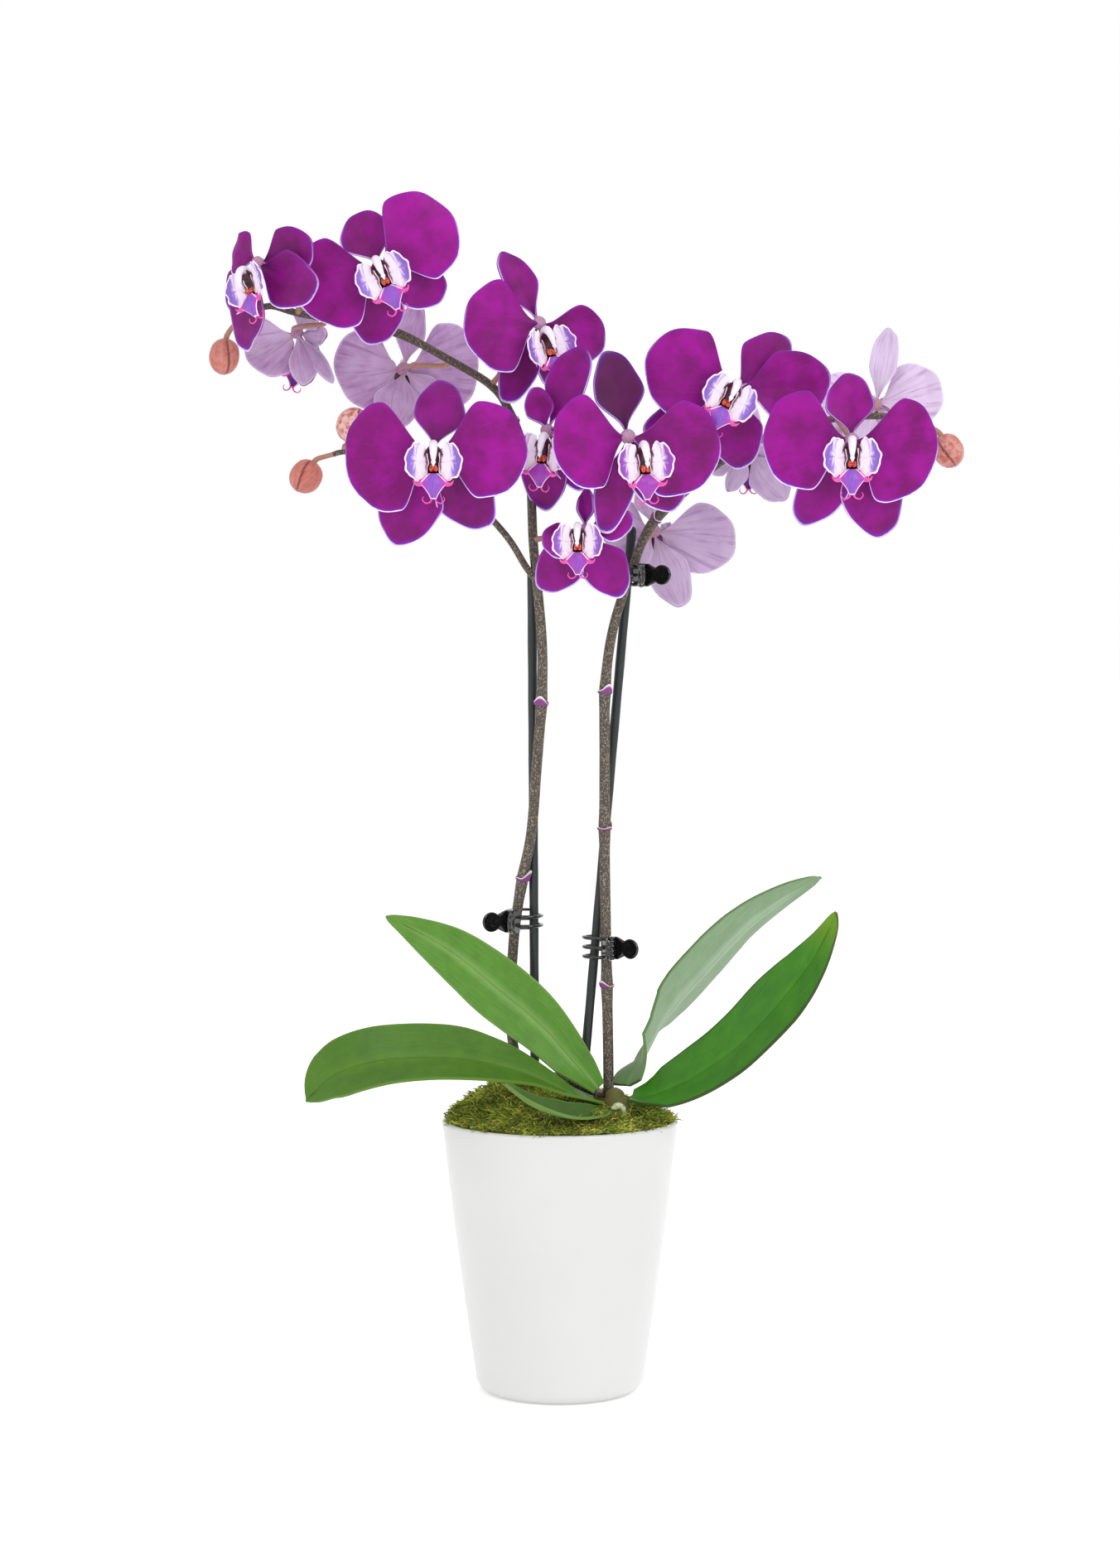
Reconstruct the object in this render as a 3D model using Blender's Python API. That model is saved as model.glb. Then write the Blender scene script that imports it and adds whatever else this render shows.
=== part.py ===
"""A potted moth orchid: a white ceramic pot of bark and moss, one plant of five leaves and two
staked flower spikes, fourteen open flowers, four buds, and three claw clips that hold the spikes.

The frame's origin is the centre of the pot's flat foot, +Z is up and the plant faces -Y.
"""

import math

import bmesh
import bpy
from mathutils import Matrix, Vector

MM = 0.001

# Pot
POT_HEIGHT = 150 * MM
POT_RIM_RADIUS = 65 * MM
POT_FOOT_RADIUS = 46.5 * MM
POT_FOOT_ROUND = 9 * MM
POT_WALL = 3.5 * MM
POT_FLOOR = 5 * MM
POT_BULGE = 0.9 * MM

# What fills it
BARK_BELOW_RIM = 14 * MM
MOSS_DOME = 12 * MM
MOSS_HUMP = 11 * MM
MOSS_HUMP_PLACE = Vector((-24, 17)) * MM
MOSS_HUMP_WIDTH = 20 * MM

# The plant
CROWN_PLACE = Vector((30, -19, 0)) * MM
CROWN_RADIUS = 7.5 * MM
CROWN_TOP = 20 * MM
LEAF_THICKNESS = 1.8 * MM
STEM_RADIUS = 2.9 * MM
STEM_TIP_RADIUS = 1.7 * MM
BRANCH_RADIUS = 1.9 * MM
PEDICEL_RADIUS = 1.4 * MM
FLOWER_SPAN = 95 * MM
TEPAL_THICKNESS = 1.3 * MM
HUB_RADIUS = 4.2 * MM

# Stakes and clips
STAKE_RADIUS = 2.6 * MM
STAKE_DEPTH = 95 * MM
CLIP_HEIGHT = 13 * MM
CLIP_BAR = 1.6 * MM
CLIP_PIN_RADIUS = 0.8 * MM
CLIP_PAD_RADIUS = 5.5 * MM

# Between neighbours that touch on the real thing
GAP = 0.4 * MM

# The flower sprays keep their layout when the flowers grow or shrink.
SPRAY_CENTRE = Vector((0, 0, 300)) * MM
SPRAY_SCALE = FLOWER_SPAN / (95 * MM)


def clear_scene():
    for obj in list(bpy.data.objects):
        bpy.data.objects.remove(obj, do_unlink=True)


def make_material(name, colour, roughness, metallic=0.0):
    material = bpy.data.materials.new(name)
    material.use_nodes = True
    shader = material.node_tree.nodes["Principled BSDF"]
    shader.inputs["Base Color"].default_value = (*colour, 1)
    shader.inputs["Roughness"].default_value = roughness
    shader.inputs["Metallic"].default_value = metallic
    return material


def add_object(name, bm, material, parent=None, smooth=True):
    """One named solid from a bmesh, with its faces turned outwards."""
    bmesh.ops.recalc_face_normals(bm, faces=bm.faces)
    mesh = bpy.data.meshes.new(name)
    bm.to_mesh(mesh)
    bm.free()
    if smooth:
        mesh.shade_smooth()
    mesh.materials.append(material)
    obj = bpy.data.objects.new(name, mesh)
    bpy.context.scene.collection.objects.link(obj)
    obj.parent = parent
    return obj


def add_helper(name, bm, parent=None):
    """A cutter or a shape to be joined: it is never a part of the object itself."""
    obj = add_object(name, bm, MATERIALS["helper"], parent, smooth=False)
    obj.hide_render = True
    obj.display_type = "WIRE"
    return obj


def boolean(obj, other, operation):
    modifier = obj.modifiers.new(f"{operation.lower()} {other.name}", "BOOLEAN")
    modifier.operation = operation
    modifier.solver = "EXACT"
    modifier.object = other


def join_all(obj, pieces):
    """Joins an object and its helpers into one solid, all in one step."""
    group = bpy.data.collections.new(f"{obj.name}_pieces")
    bpy.context.scene.collection.children.link(group)
    for piece in pieces:
        group.objects.link(piece)
    modifier = obj.modifiers.new("join pieces", "BOOLEAN")
    modifier.operation = "UNION"
    modifier.solver = "EXACT"
    modifier.operand_type = "COLLECTION"
    modifier.collection = group


def spray_point(x, y, z):
    """A point of the flower sprays, from millimetres above the rim's plane, at the flowers' scale."""
    return SPRAY_CENTRE + (Vector((x, y, z)) * MM - SPRAY_CENTRE) * SPRAY_SCALE


def smooth_path(points, spacing):
    """Points along a Catmull-Rom curve through the given ones, about one spacing apart."""
    path = []
    for index in range(len(points) - 1):
        start, end = points[index], points[index + 1]
        before = points[index - 1] if index else start * 2 - end
        after = points[index + 2] if index + 2 < len(points) else end * 2 - start
        steps = max(1, round((end - start).length / spacing))
        for step in range(steps):
            t = step / steps
            path.append(0.5 * (2 * start + (end - before) * t
                               + (2 * before - 5 * start + 4 * end - after) * t ** 2
                               + (3 * start - before - 3 * end + after) * t ** 3))
    path.append(points[-1].copy())
    return path


def path_tangent(path, index):
    return (path[min(index + 1, len(path) - 1)] - path[max(index - 1, 0)]).normalized()


def join_rings(bm, rings, closed_ends=True):
    """Skins a list of vertex rings of equal length, with a flat cap at each end."""
    for lower, upper in zip(rings, rings[1:]):
        for index in range(len(lower)):
            following = (index + 1) % len(lower)
            bm.faces.new((lower[index], lower[following], upper[following], upper[index]))
    if closed_ends:
        bm.faces.new(list(reversed(rings[0])))
        bm.faces.new(rings[-1])


def add_tube(bm, path, radii, sides):
    """A round tube along a path, whose rings turn as little as they can from one to the next."""
    side = path_tangent(path, 0).orthogonal().normalized()
    rings = []
    for index, (point, radius) in enumerate(zip(path, radii)):
        tangent = path_tangent(path, index)
        side = (side - tangent * side.dot(tangent)).normalized()
        up = tangent.cross(side)
        ring = []
        for step in range(sides):
            angle = 2 * math.pi * step / sides
            ring.append(bm.verts.new(point + (side * math.cos(angle) + up * math.sin(angle)) * radius))
        rings.append(ring)
    join_rings(bm, rings)


def add_lathe(bm, profile, steps):
    """Turns a profile of (radius, height) pairs about Z. Both of its ends are on the axis."""
    rings = []
    for radius, height in profile[1:-1]:
        ring = []
        for step in range(steps):
            angle = 2 * math.pi * step / steps
            ring.append(bm.verts.new((radius * math.cos(angle), radius * math.sin(angle), height)))
        rings.append(ring)
    join_rings(bm, rings, closed_ends=False)
    for pole_height, ring in ((profile[0][1], rings[0]), (profile[-1][1], rings[-1])):
        pole = bm.verts.new((0, 0, pole_height))
        for index in range(steps):
            bm.faces.new((pole, ring[index], ring[(index + 1) % steps]))


def add_sheet(bm, rows, thickness):
    """A thin closed solid on a grid of points, half its thickness to each side of them."""
    row_count, column_count = len(rows), len(rows[0])
    sides = ([], [])
    for i in range(row_count):
        front, back = [], []
        for j in range(column_count):
            along = rows[min(i + 1, row_count - 1)][j] - rows[max(i - 1, 0)][j]
            across = rows[i][min(j + 1, column_count - 1)] - rows[i][max(j - 1, 0)]
            normal = along.cross(across).normalized() * thickness / 2
            front.append(bm.verts.new(rows[i][j] + normal))
            back.append(bm.verts.new(rows[i][j] - normal))
        sides[0].append(front)
        sides[1].append(back)
    for grid in sides:
        for i in range(row_count - 1):
            for j in range(column_count - 1):
                bm.faces.new((grid[i][j], grid[i][j + 1], grid[i + 1][j + 1], grid[i + 1][j]))
    rim = [(0, j) for j in range(column_count)]
    rim += [(i, column_count - 1) for i in range(1, row_count)]
    rim += [(row_count - 1, j) for j in range(column_count - 2, -1, -1)]
    rim += [(i, 0) for i in range(row_count - 2, 0, -1)]
    for (i, j), (k, m) in zip(rim, rim[1:] + rim[:1]):
        bm.faces.new((sides[0][i][j], sides[0][k][m], sides[1][k][m], sides[1][i][j]))


def arc(centre_radius, centre_height, size, start, end, steps):
    """Profile points on an arc, with its angles in degrees from outwards towards up."""
    points = []
    for step in range(steps + 1):
        angle = math.radians(start + (end - start) * step / steps)
        points.append((centre_radius + size * math.cos(angle), centre_height + size * math.sin(angle)))
    return points


def pot_radius(height):
    """The pot's outer radius at a height: a straight taper with a slight belly."""
    share = max(0.0, (height - POT_FOOT_ROUND) / (POT_HEIGHT - POT_FOOT_ROUND))
    return (POT_FOOT_RADIUS + (POT_RIM_RADIUS - POT_FOOT_RADIUS) * share
            + POT_BULGE * math.sin(math.pi * share))


def make_pot():
    """Turned shell: rounded foot edge, tapering wall, rounded lip, open inside down to the floor."""
    heights = [POT_FOOT_ROUND + (POT_HEIGHT - POT_FOOT_ROUND) * share for share in (0.35, 0.7)]
    lip = POT_WALL / 2
    profile = [(0, 0)]
    profile += arc(POT_FOOT_RADIUS - POT_FOOT_ROUND, POT_FOOT_ROUND, POT_FOOT_ROUND, -90, 0, 3)
    profile += [(pot_radius(height), height) for height in heights]
    profile += arc(POT_RIM_RADIUS - lip, POT_HEIGHT - lip, lip, 0, 180, 4)
    profile += [(pot_radius(height) - POT_WALL, height) for height in reversed(heights)]
    profile += arc(POT_FOOT_RADIUS - POT_FOOT_ROUND, POT_FLOOR + POT_FOOT_ROUND,
                   POT_FOOT_ROUND - POT_WALL / 2, 0, -90, 2)[:-1]
    profile += [(POT_FOOT_RADIUS - POT_FOOT_ROUND, POT_FLOOR), (0, POT_FLOOR)]
    bm = bmesh.new()
    add_lathe(bm, profile, 32)
    return add_object("pot", bm, MATERIALS["ceramic"])


def fill_radius(height):
    """The radius that clears the inside of the pot's wall at a height."""
    return pot_radius(height) - POT_WALL - GAP


def make_bark(stakes):
    """Potting bark: a plug that fills the pot, with a hole for each stake."""
    bottom = POT_FLOOR + POT_FOOT_ROUND
    top = POT_HEIGHT - BARK_BELOW_RIM
    middle = (bottom + top) / 2
    profile = [(0, bottom), (fill_radius(bottom) - GAP, bottom), (fill_radius(middle) - GAP, middle),
               (fill_radius(top) - GAP, top), (0, top)]
    bm = bmesh.new()
    add_lathe(bm, profile, 24)
    bark = add_object("potting_bark", bm, MATERIALS["bark"])
    for cutter in stakes:
        boolean(bark, cutter, "DIFFERENCE")
    return bark


def moss_height(x, y):
    """The moss above the rim's plane: a low dome with a hump at the back left."""
    dome = MOSS_DOME * (1 - (x * x + y * y) / fill_radius(POT_HEIGHT) ** 2)
    hump = (Vector((x, y)) - MOSS_HUMP_PLACE).length / MOSS_HUMP_WIDTH
    return dome + MOSS_HUMP * math.exp(-hump * hump / 2) - 1.5 * MM


def make_moss(cutters):
    """The moss that covers the bark, holed where the crown, the spikes and the stakes go in."""
    bottom = POT_HEIGHT - BARK_BELOW_RIM + GAP
    steps = 24
    bm = bmesh.new()
    rings = []
    for radius_share, height in ((0.5, bottom), (1, bottom), (1, None), (0.8, None), (0.55, None), (0.28, None)):
        ring = []
        for step in range(steps):
            angle = 2 * math.pi * step / steps
            radius = radius_share * (fill_radius(bottom) if height else fill_radius(POT_HEIGHT))
            x, y = radius * math.cos(angle), radius * math.sin(angle)
            ring.append(bm.verts.new((x, y, height or POT_HEIGHT + moss_height(x, y))))
        rings.append(ring)
    join_rings(bm, rings)
    moss = add_object("moss_mound", bm, MATERIALS["moss"])
    for cutter in cutters:
        boolean(moss, cutter, "DIFFERENCE")
    return moss


def make_crown(soil):
    """The short woody stem that the leaves and both spikes grow from."""
    foot = -BARK_BELOW_RIM + 2 * GAP
    profile = [(0, foot), (CROWN_RADIUS * 0.7, foot), (CROWN_RADIUS, 4 * MM), (CROWN_RADIUS * 0.9, 12 * MM),
               (CROWN_RADIUS * 0.5, CROWN_TOP - 1 * MM), (0, CROWN_TOP)]
    wide = [(radius + GAP if radius else 0, height) for radius, height in profile]
    bm = bmesh.new()
    add_lathe(bm, profile, 12)
    crown = add_object("crown", bm, MATERIALS["crown"], soil)
    bm = bmesh.new()
    add_lathe(bm, [(0, wide[0][1] - 2 * GAP)] + [(radius, height - 2 * GAP if index == 0 else height)
                                                 for index, (radius, height) in enumerate(wide[1:])], 12)
    cutter = add_helper("crown_hole", bm, soil)
    crown.location = cutter.location = CROWN_PLACE
    return cutter


# Each leaf: points along its midrib from the crown's axis at the rim's height, in millimetres, its
# greatest half width, how far it turns about the midrib at its foot and at its tip, how deep its
# fold is, and its width as shares of the greatest, at shares of its length.
LEAVES = {
    "leaf_1": ([(-10, -6, 12), (-26, -16, 19), (-46, -20, 29), (-70, -21, 36), (-95, -21, 39), (-128, -21, 37),
                (-152, -20, 29), (-167, -18, 15)], 20, (-22, -58), 0.25,
               ((0, 0.3), (0.16, 0.42), (0.31, 0.74), (0.47, 0.93), (0.78, 1), (0.9, 0.86), (1, 0.16))),
    "leaf_2": ([(-5, -11, 7.5), (-14, -24, 7.5), (-28, -36, 9.5), (-45, -44, 17), (-60, -47, 29)], 8, (-25, -25), 0.55,
               ((0, 0.5), (0.25, 0.95), (0.5, 1), (0.8, 0.6), (1, 0.12))),
    "leaf_3": ([(-10, -1, 19), (-22, 0, 33), (-41, 3, 54), (-64, 7, 73), (-87, 13, 91), (-108, 20, 103),
                (-126, 28, 111)], 17, (-75, -75), 0.22,
               ((0, 0.4), (0.15, 0.66), (0.35, 0.95), (0.5, 1), (0.7, 0.82), (0.86, 0.48), (1, 0.08))),
    "leaf_4": ([(8, 8, 20), (17, 20, 36), (30, 33, 57), (51, 43, 80), (74, 51, 103), (95, 58, 118),
                (117, 66, 130)], 21.5, (-52, -52), 0.22,
               ((0, 0.55), (0.12, 0.92), (0.3, 1), (0.5, 0.9), (0.68, 0.76), (0.87, 0.45), (1, 0.08))),
    "leaf_5": ([(9, -4, 14), (22, -8, 17), (42, -14, 27), (64, -20, 43), (84, -24, 64), (102, -26, 87),
                (112, -27, 104), (118, -26, 118)], 19.5, (42, 60), 0.22,
               ((0, 0.45), (0.12, 0.7), (0.24, 0.9), (0.4, 1), (0.62, 0.94), (0.78, 0.66), (0.92, 0.3), (1, 0.08))),
}


def width_at(profile, share):
    """A width at a share of the length, between the two nearest of its profile."""
    for (low, before), (high, after) in zip(profile, profile[1:]):
        if low <= share <= high:
            return before + (after - before) * (share - low) / (high - low)
    return profile[-1][1]


def make_leaf(name, soil):
    """A strap leaf: a folded sheet along its midrib, on the profile of its own width."""
    points, half_width, (foot_turn, tip_turn), fold, profile = LEAVES[name]
    path = smooth_path([Vector(point) * MM for point in points], 22 * MM)
    rows = []
    for index, point in enumerate(path):
        share = index / (len(path) - 1)
        tangent = path_tangent(path, index)
        level = tangent.cross(Vector((0, 0, 1))).normalized()
        turn = math.radians(foot_turn + (tip_turn - foot_turn) * share) * min(1, 0.3 + share * 5)
        across = Matrix.Rotation(turn, 3, tangent) @ level
        up = across.cross(tangent)
        width = half_width * MM * width_at(profile, share)
        row = []
        for column in (-1, -0.5, 0, 0.5, 1):
            row.append(point + across * width * column + up * width * fold * abs(column) ** 1.3)
        rows.append(row)
    bm = bmesh.new()
    add_sheet(bm, rows, LEAF_THICKNESS)
    leaf = add_object(name, bm, MATERIALS[name], soil)
    leaf.location = CROWN_PLACE


def lower_points(points):
    return [Vector(point) * MM for point in points]


# The stems' own points: millimetres from the pot's axis, and above the rim's plane.
SPIKE_LEFT_STALK = [(21.5, -13, 13.5), (19.3, -7, 15.5), (13, 0.5, 18.5), (0, 6, 21.5), (-14, 8, 24),
                    (-24.5, 10.5, 33),
                    (-27.5, 11, 62), (-26, 8.5, 92), (-24, 7, 112), (-20, 1.5, 136), (-15.6, -3, 159),
                    (-12.8, -6.5, 194), (-10, -11, 232), (-9.8, -13, 262)]
SPIKE_LEFT_SPRAY = [(-12.6, -16, 296), (-14.6, -15, 318), (-15.8, -8, 346), (-18, -5, 362), (-28, 0, 389),
                    (-38, 3, 403), (-61, 4, 417), (-88, 3, 431), (-113, 3, 437), (-143, 2, 442),
                    (-158, 3, 446), (-169, 6, 443), (-177, 8, 437)]
SPIKE_RIGHT_STALK = [(27, -8, -9), (26.7, -8.6, 10), (26.3, -10.5, 44), (25.2, -11, 98), (24.4, -10, 148),
                     (24.4, -8.8, 200), (24.7, -7.6, 238), (29, -6, 270)]
SPIKE_RIGHT_SPRAY = [(38.9, -6, 301), (49.5, -10, 326), (69, -14, 345), (90, -16, 362), (118, -16, 376),
                     (150, -16, 383.5), (180, -16, 384.5), (197, -16, 380)]
BRANCH_SPRAY = [(-18.4, -17.6, 303.2), (-29, -18, 320), (-48, -9, 340), (-66, -2, 351), (-89, 0, 359),
                (-108, 0, 364.5), (-118, 0, 366.5), (-124, 0, 365)]
STAKE_LEFT_ENDS = Vector((-14.2, 12, 72)) * MM, spray_point(-15.3, -9.7, 302)
STAKE_RIGHT_ENDS = Vector((12.9, -8.5, 24)) * MM, spray_point(39.5, 3, 326)

# Where a sheathing bract makes a node on each stalk, in millimetres above the rim's plane.
SPIKE_LEFT_NODES = (131, 229)
SPIKE_RIGHT_NODES = (75, 161, 236)

# A thicker left stalk starts further out, clear of the crown and of the right spike.
STALK_STAND_OFF = Vector((-1.7, 1.2, 0)) * (STEM_RADIUS - 2.9 * MM)


def stem_path(stalk, spray, stand_off=Vector()):
    points = lower_points(stalk)
    for index in (0, 1):
        points[index] += stand_off
    return smooth_path(points + [spray_point(*point) for point in spray], 17 * MM)


def stem_radius(share, height, nodes):
    """A stem thins towards its tip and swells a little at each node."""
    radius = STEM_RADIUS + (STEM_TIP_RADIUS - STEM_RADIUS) * max(0, share - 0.45) / 0.55
    for node in nodes:
        radius += 0.5 * MM * math.exp(-((height - node * MM) / (7 * MM)) ** 2)
    return radius


def make_stem(name, path, radii, soil, sides=7):
    bm = bmesh.new()
    add_tube(bm, path, radii, sides)
    return add_object(name, bm, MATERIALS["stem"], soil)


def make_spike(name, stalk, spray, nodes, soil, stand_off=Vector()):
    path = stem_path(stalk, spray, stand_off)
    radii = [stem_radius(index / (len(path) - 1), point.z, nodes) for index, point in enumerate(path)]
    make_stem(name, path, radii, soil)
    return path, radii


def stake_point(ends, height):
    """The stake's axis at a height above the rim's plane."""
    low, high = ends
    return low + (high - low) * (height - low.z) / (high.z - low.z)


def make_stake(name, ends, soil):
    """A straight plastic-coated rod, pushed down into the bark. It returns the hole's cutter."""
    foot = stake_point(ends, -STAKE_DEPTH)
    bm = bmesh.new()
    add_tube(bm, [foot, ends[1]], [STAKE_RADIUS] * 2, 10)
    add_object(name, bm, MATERIALS["stake"], soil)
    bm = bmesh.new()
    hole_foot = stake_point(ends, -STAKE_DEPTH - GAP)
    hole_top = stake_point(ends, 45 * MM)
    add_tube(bm, [hole_foot, hole_top], [STAKE_RADIUS + GAP] * 2, 10)
    return add_helper(f"{name}_hole", bm, soil)


def nearest(path, point):
    """The index of the path's point that is nearest to a point."""
    return min(range(len(path)), key=lambda index: (path[index] - point).length)


def height_index(path, height):
    return min(range(len(path)), key=lambda index: abs(path[index].z - height))


def point_at_height(path, height):
    for lower, upper in zip(path, path[1:]):
        if lower.z <= height <= upper.z:
            return lower + (upper - lower) * (height - lower.z) / (upper.z - lower.z)
    return path[height_index(path, height)]


# Each flower: its hub in millimetres from the axis and above the rim's plane, the way it faces
# (turned to its right, tipped down, rolled, in degrees), its scale, its dorsal sepal, left and
# right petal, left and right lower sepal, each as (direction seen from the front of the plant,
# length, greatest half width), how far its lip sits from the hub, the stem that it grows on and
# where it joins it.
FLOWERS = {
    1: ((-162, -34, 465), (-38, 5, 22), 0.95,
        ((12, 34, 14), (150, 20, 12), (335, 42, 15), (216, 40, 11), (240, 52, 13)), (0, -8), "left", (-146, 2, 442)),
    2: ((-97, -26, 464), (4, 6, 24), 1.0,
        ((113, 31, 14), (201, 47, 24), (38, 48, 24), (266, 42, 14.5), (337, 39, 13.5)), (0, -1), "left", (-104, 3, 436)),
    3: ((-145, 21, 433), (172, 12, 12), 0.88,
        ((55, 15, 8), (207, 31, 18), (352, 17, 6), (285, 34, 8), (307, 40, 4)), (0, -8), "left", (-127, 3, 439)),
    4: ((-87, 33, 414), (182, 4, 0), 0.95,
        ((78, 36, 8), (178, 38, 22), (2, 42, 24), (261, 34, 13), (318, 30, 7)), (0, 0), "left", (-62, 4, 418)),
    5: ((-11, -15, 435), (24, 2, 14), 0.95,
        ((116, 42, 9.5), (187, 43, 24), (346, 42, 15), (250, 46, 10.5), (290, 36, 8)), (1, -9), "left", (-34, 2, 399)),
    6: ((-67, -56, 363), (2, 3, 0), 1.0,
        ((81, 38, 13.5), (188, 47, 28), (2, 50, 24.5), (246, 53, 17), (306, 49, 15)), (0, -1), "branch", (-68, -2, 352)),
    7: ((-7, -30, 376), (-14, 8, -6), 0.95,
        ((67, 48, 11), (106, 24, 8), (3, 30, 14), (262, 44, 13), (300, 38, 9)), (0, -7), "left", (-19, -4, 365)),
    8: ((36, -61, 371), (10, 6, 4), 1.0,
        ((102, 45, 13), (190, 40, 24), (346, 51, 25), (259, 53, 10.5), (308, 49, 14)), (7, -9), "right", (60, -12, 338)),
    9: ((94, -34, 398), (6, 4, -28), 1.0,
        ((43, 40, 14), (163, 50, 24), (3, 52, 19), (208, 54, 10.5), (275, 43, 14)), (-3, -1), "right", (103, -16, 369)),
    10: ((154, -62, 369), (-4, 3, 0), 1.0,
         ((93, 35, 12.5), (181, 47, 25), (346, 45, 27), (239, 52, 13), (290, 54, 16)), (0, -5), "right", (147, -16, 383)),
    11: ((13, -41, 322), (-4, 8, 0), 0.9,
         ((87, 22, 4.6), (202, 24, 9.4), (13, 27, 8.5), (235, 41, 12.4), (298, 41, 12.7)), (-3, -1), "left", (-14.6, -14, 321)),
    12: ((52, 25, 324), (180, 6, 0), 0.95,
         ((92, 30, 10), (172, 30, 14), (350, 46, 19), (240, 30, 8), (289, 46, 11.5)), (0, 0), "right", (46, -9, 319)),
    13: ((104, 18, 368), (176, 10, 0), 0.85,
         ((95, 28, 8), (178, 30, 14), (2, 32, 16), (247, 27, 5.5), (305, 36, 11)), (0, 0), "right", (112, -16, 373)),
    14: ((174, 16, 393), (186, 4, 0), 0.92,
         ((81, 42, 7.5), (178, 36, 17), (14, 38, 17), (240, 32, 11), (300, 32, 11)), (0, 0), "right", (165, -16, 385)),
}

# Tepal kinds: width profile along the length, where those widths are, how far in front of the hub
# the blade sits, and how far it tips back, in degrees.
DORSAL = ((0.30, 0.90, 0.95, 0.30), (0, 0.34, 0.72, 1), -1.6, 9)
PETAL = ((0.14, 0.72, 1.0, 0.93, 0.50), (0, 0.26, 0.52, 0.80, 1), 1.4, 4)
SEPAL = ((0.28, 0.92, 0.95, 0.24), (0, 0.34, 0.70, 1), -1.6, 10)


def tepal_rows(kind, angle, length, half_width):
    """The grid of one tepal in its flower's frame, where the flower faces -Y and stands upright."""
    widths, shares, forward, tip_back = kind
    outward = Vector((math.cos(angle), 0, math.sin(angle)))
    across = Vector((-math.sin(angle), 0, math.cos(angle)))
    rows = []
    for share, width in zip(shares, widths):
        reach = 2.0 * MM + (length - 2.0 * MM) * share
        depth = forward * min(1, 0.6 + share * 2) * MM - math.tan(math.radians(tip_back)) * reach
        row = []
        for column in (-1, 0, 1):
            spread = half_width * width * column
            cup = 1.5 * MM * abs(column) ** 2 * math.sin(math.pi * share)
            row.append(outward * reach + across * spread + Vector((0, -depth - cup, 0)))
        rows.append(row)
    return rows


def flower_frame(number):
    """Where a flower's hub is and the way it faces, relative to the rim's plane."""
    hub, (turn, tip, roll), *_ = FLOWERS[number]
    return (Matrix.Translation(spray_point(*hub)) @ Matrix.Rotation(math.radians(turn), 4, "Z")
            @ Matrix.Rotation(math.radians(tip), 4, "X"))


def pedicel_path(frame, scale, stem, join):
    """A pedicel's route in its flower's frame: straight back from the hub, then square on to the stem."""
    path, radii = stem
    index = nearest(path, spray_point(*join))
    foot, radius, tangent = path[index], radii[index], path_tangent(path, index)
    back = frame.to_3x3() @ Vector((0, 1, 0))
    leave = frame @ Vector((0, 9 * scale * MM, 0))
    aim = leave - foot
    square = (aim - tangent * aim.dot(tangent)).normalized()
    reach = max(aim.length * 0.35, 6 * MM)
    first = foot + square * (radius + GAP)
    second = foot + square * (radius + GAP + 3 * MM)
    points = [frame @ Vector((0, 1 * MM, 0)), leave, leave + back * reach * 0.25 + (second - leave) * 0.4,
              second, first]
    inverse = frame.inverted()
    return [inverse @ point for point in smooth_path(points, 16 * MM)]


def add_ball(bm, centre, size, sides=7, rings=4):
    matrix = Matrix.Translation(centre) @ Matrix.Diagonal((*size, 1))
    bmesh.ops.create_uvsphere(bm, u_segments=sides, v_segments=rings, radius=1, matrix=matrix)


def make_flower(number, stems, soil):
    """One flower's five tepals, hub and pedicel as one piece, as they grow."""
    _, _, scale, tepals, _, stem_name, join = FLOWERS[number]
    scale *= SPRAY_SCALE
    frame = flower_frame(number)
    faces_back = frame.to_3x3() @ Vector((0, -1, 0))
    mirrored = faces_back.y > 0
    name = f"flower_{number:02d}"
    bm = bmesh.new()
    add_ball(bm, (0, 0.5 * MM, 0), (HUB_RADIUS * scale, 3.6 * MM, HUB_RADIUS * scale))
    flower = add_object(name, bm, MATERIALS["flower"], soil)
    flower.matrix_local = frame
    pieces = []
    for kind, (angle, length, half_width), label in zip((DORSAL, PETAL, PETAL, SEPAL, SEPAL), tepals, "abcde"):
        angle = math.radians(180 - angle if mirrored else angle)
        size = SPRAY_SCALE * MM
        bm = bmesh.new()
        add_sheet(bm, tepal_rows(kind, angle, length * size, half_width * size), TEPAL_THICKNESS)
        tepal = add_helper(f"{name}_tepal_{label}", bm, soil)
        tepal.matrix_local = frame
        pieces.append(tepal)
    path = pedicel_path(frame, scale, stems[stem_name], join)
    bm = bmesh.new()
    add_tube(bm, path, [PEDICEL_RADIUS] * len(path), 5)
    pieces.append(add_helper(f"{name}_pedicel", bm, soil))
    pieces[-1].matrix_local = frame
    join_all(flower, pieces)


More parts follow.
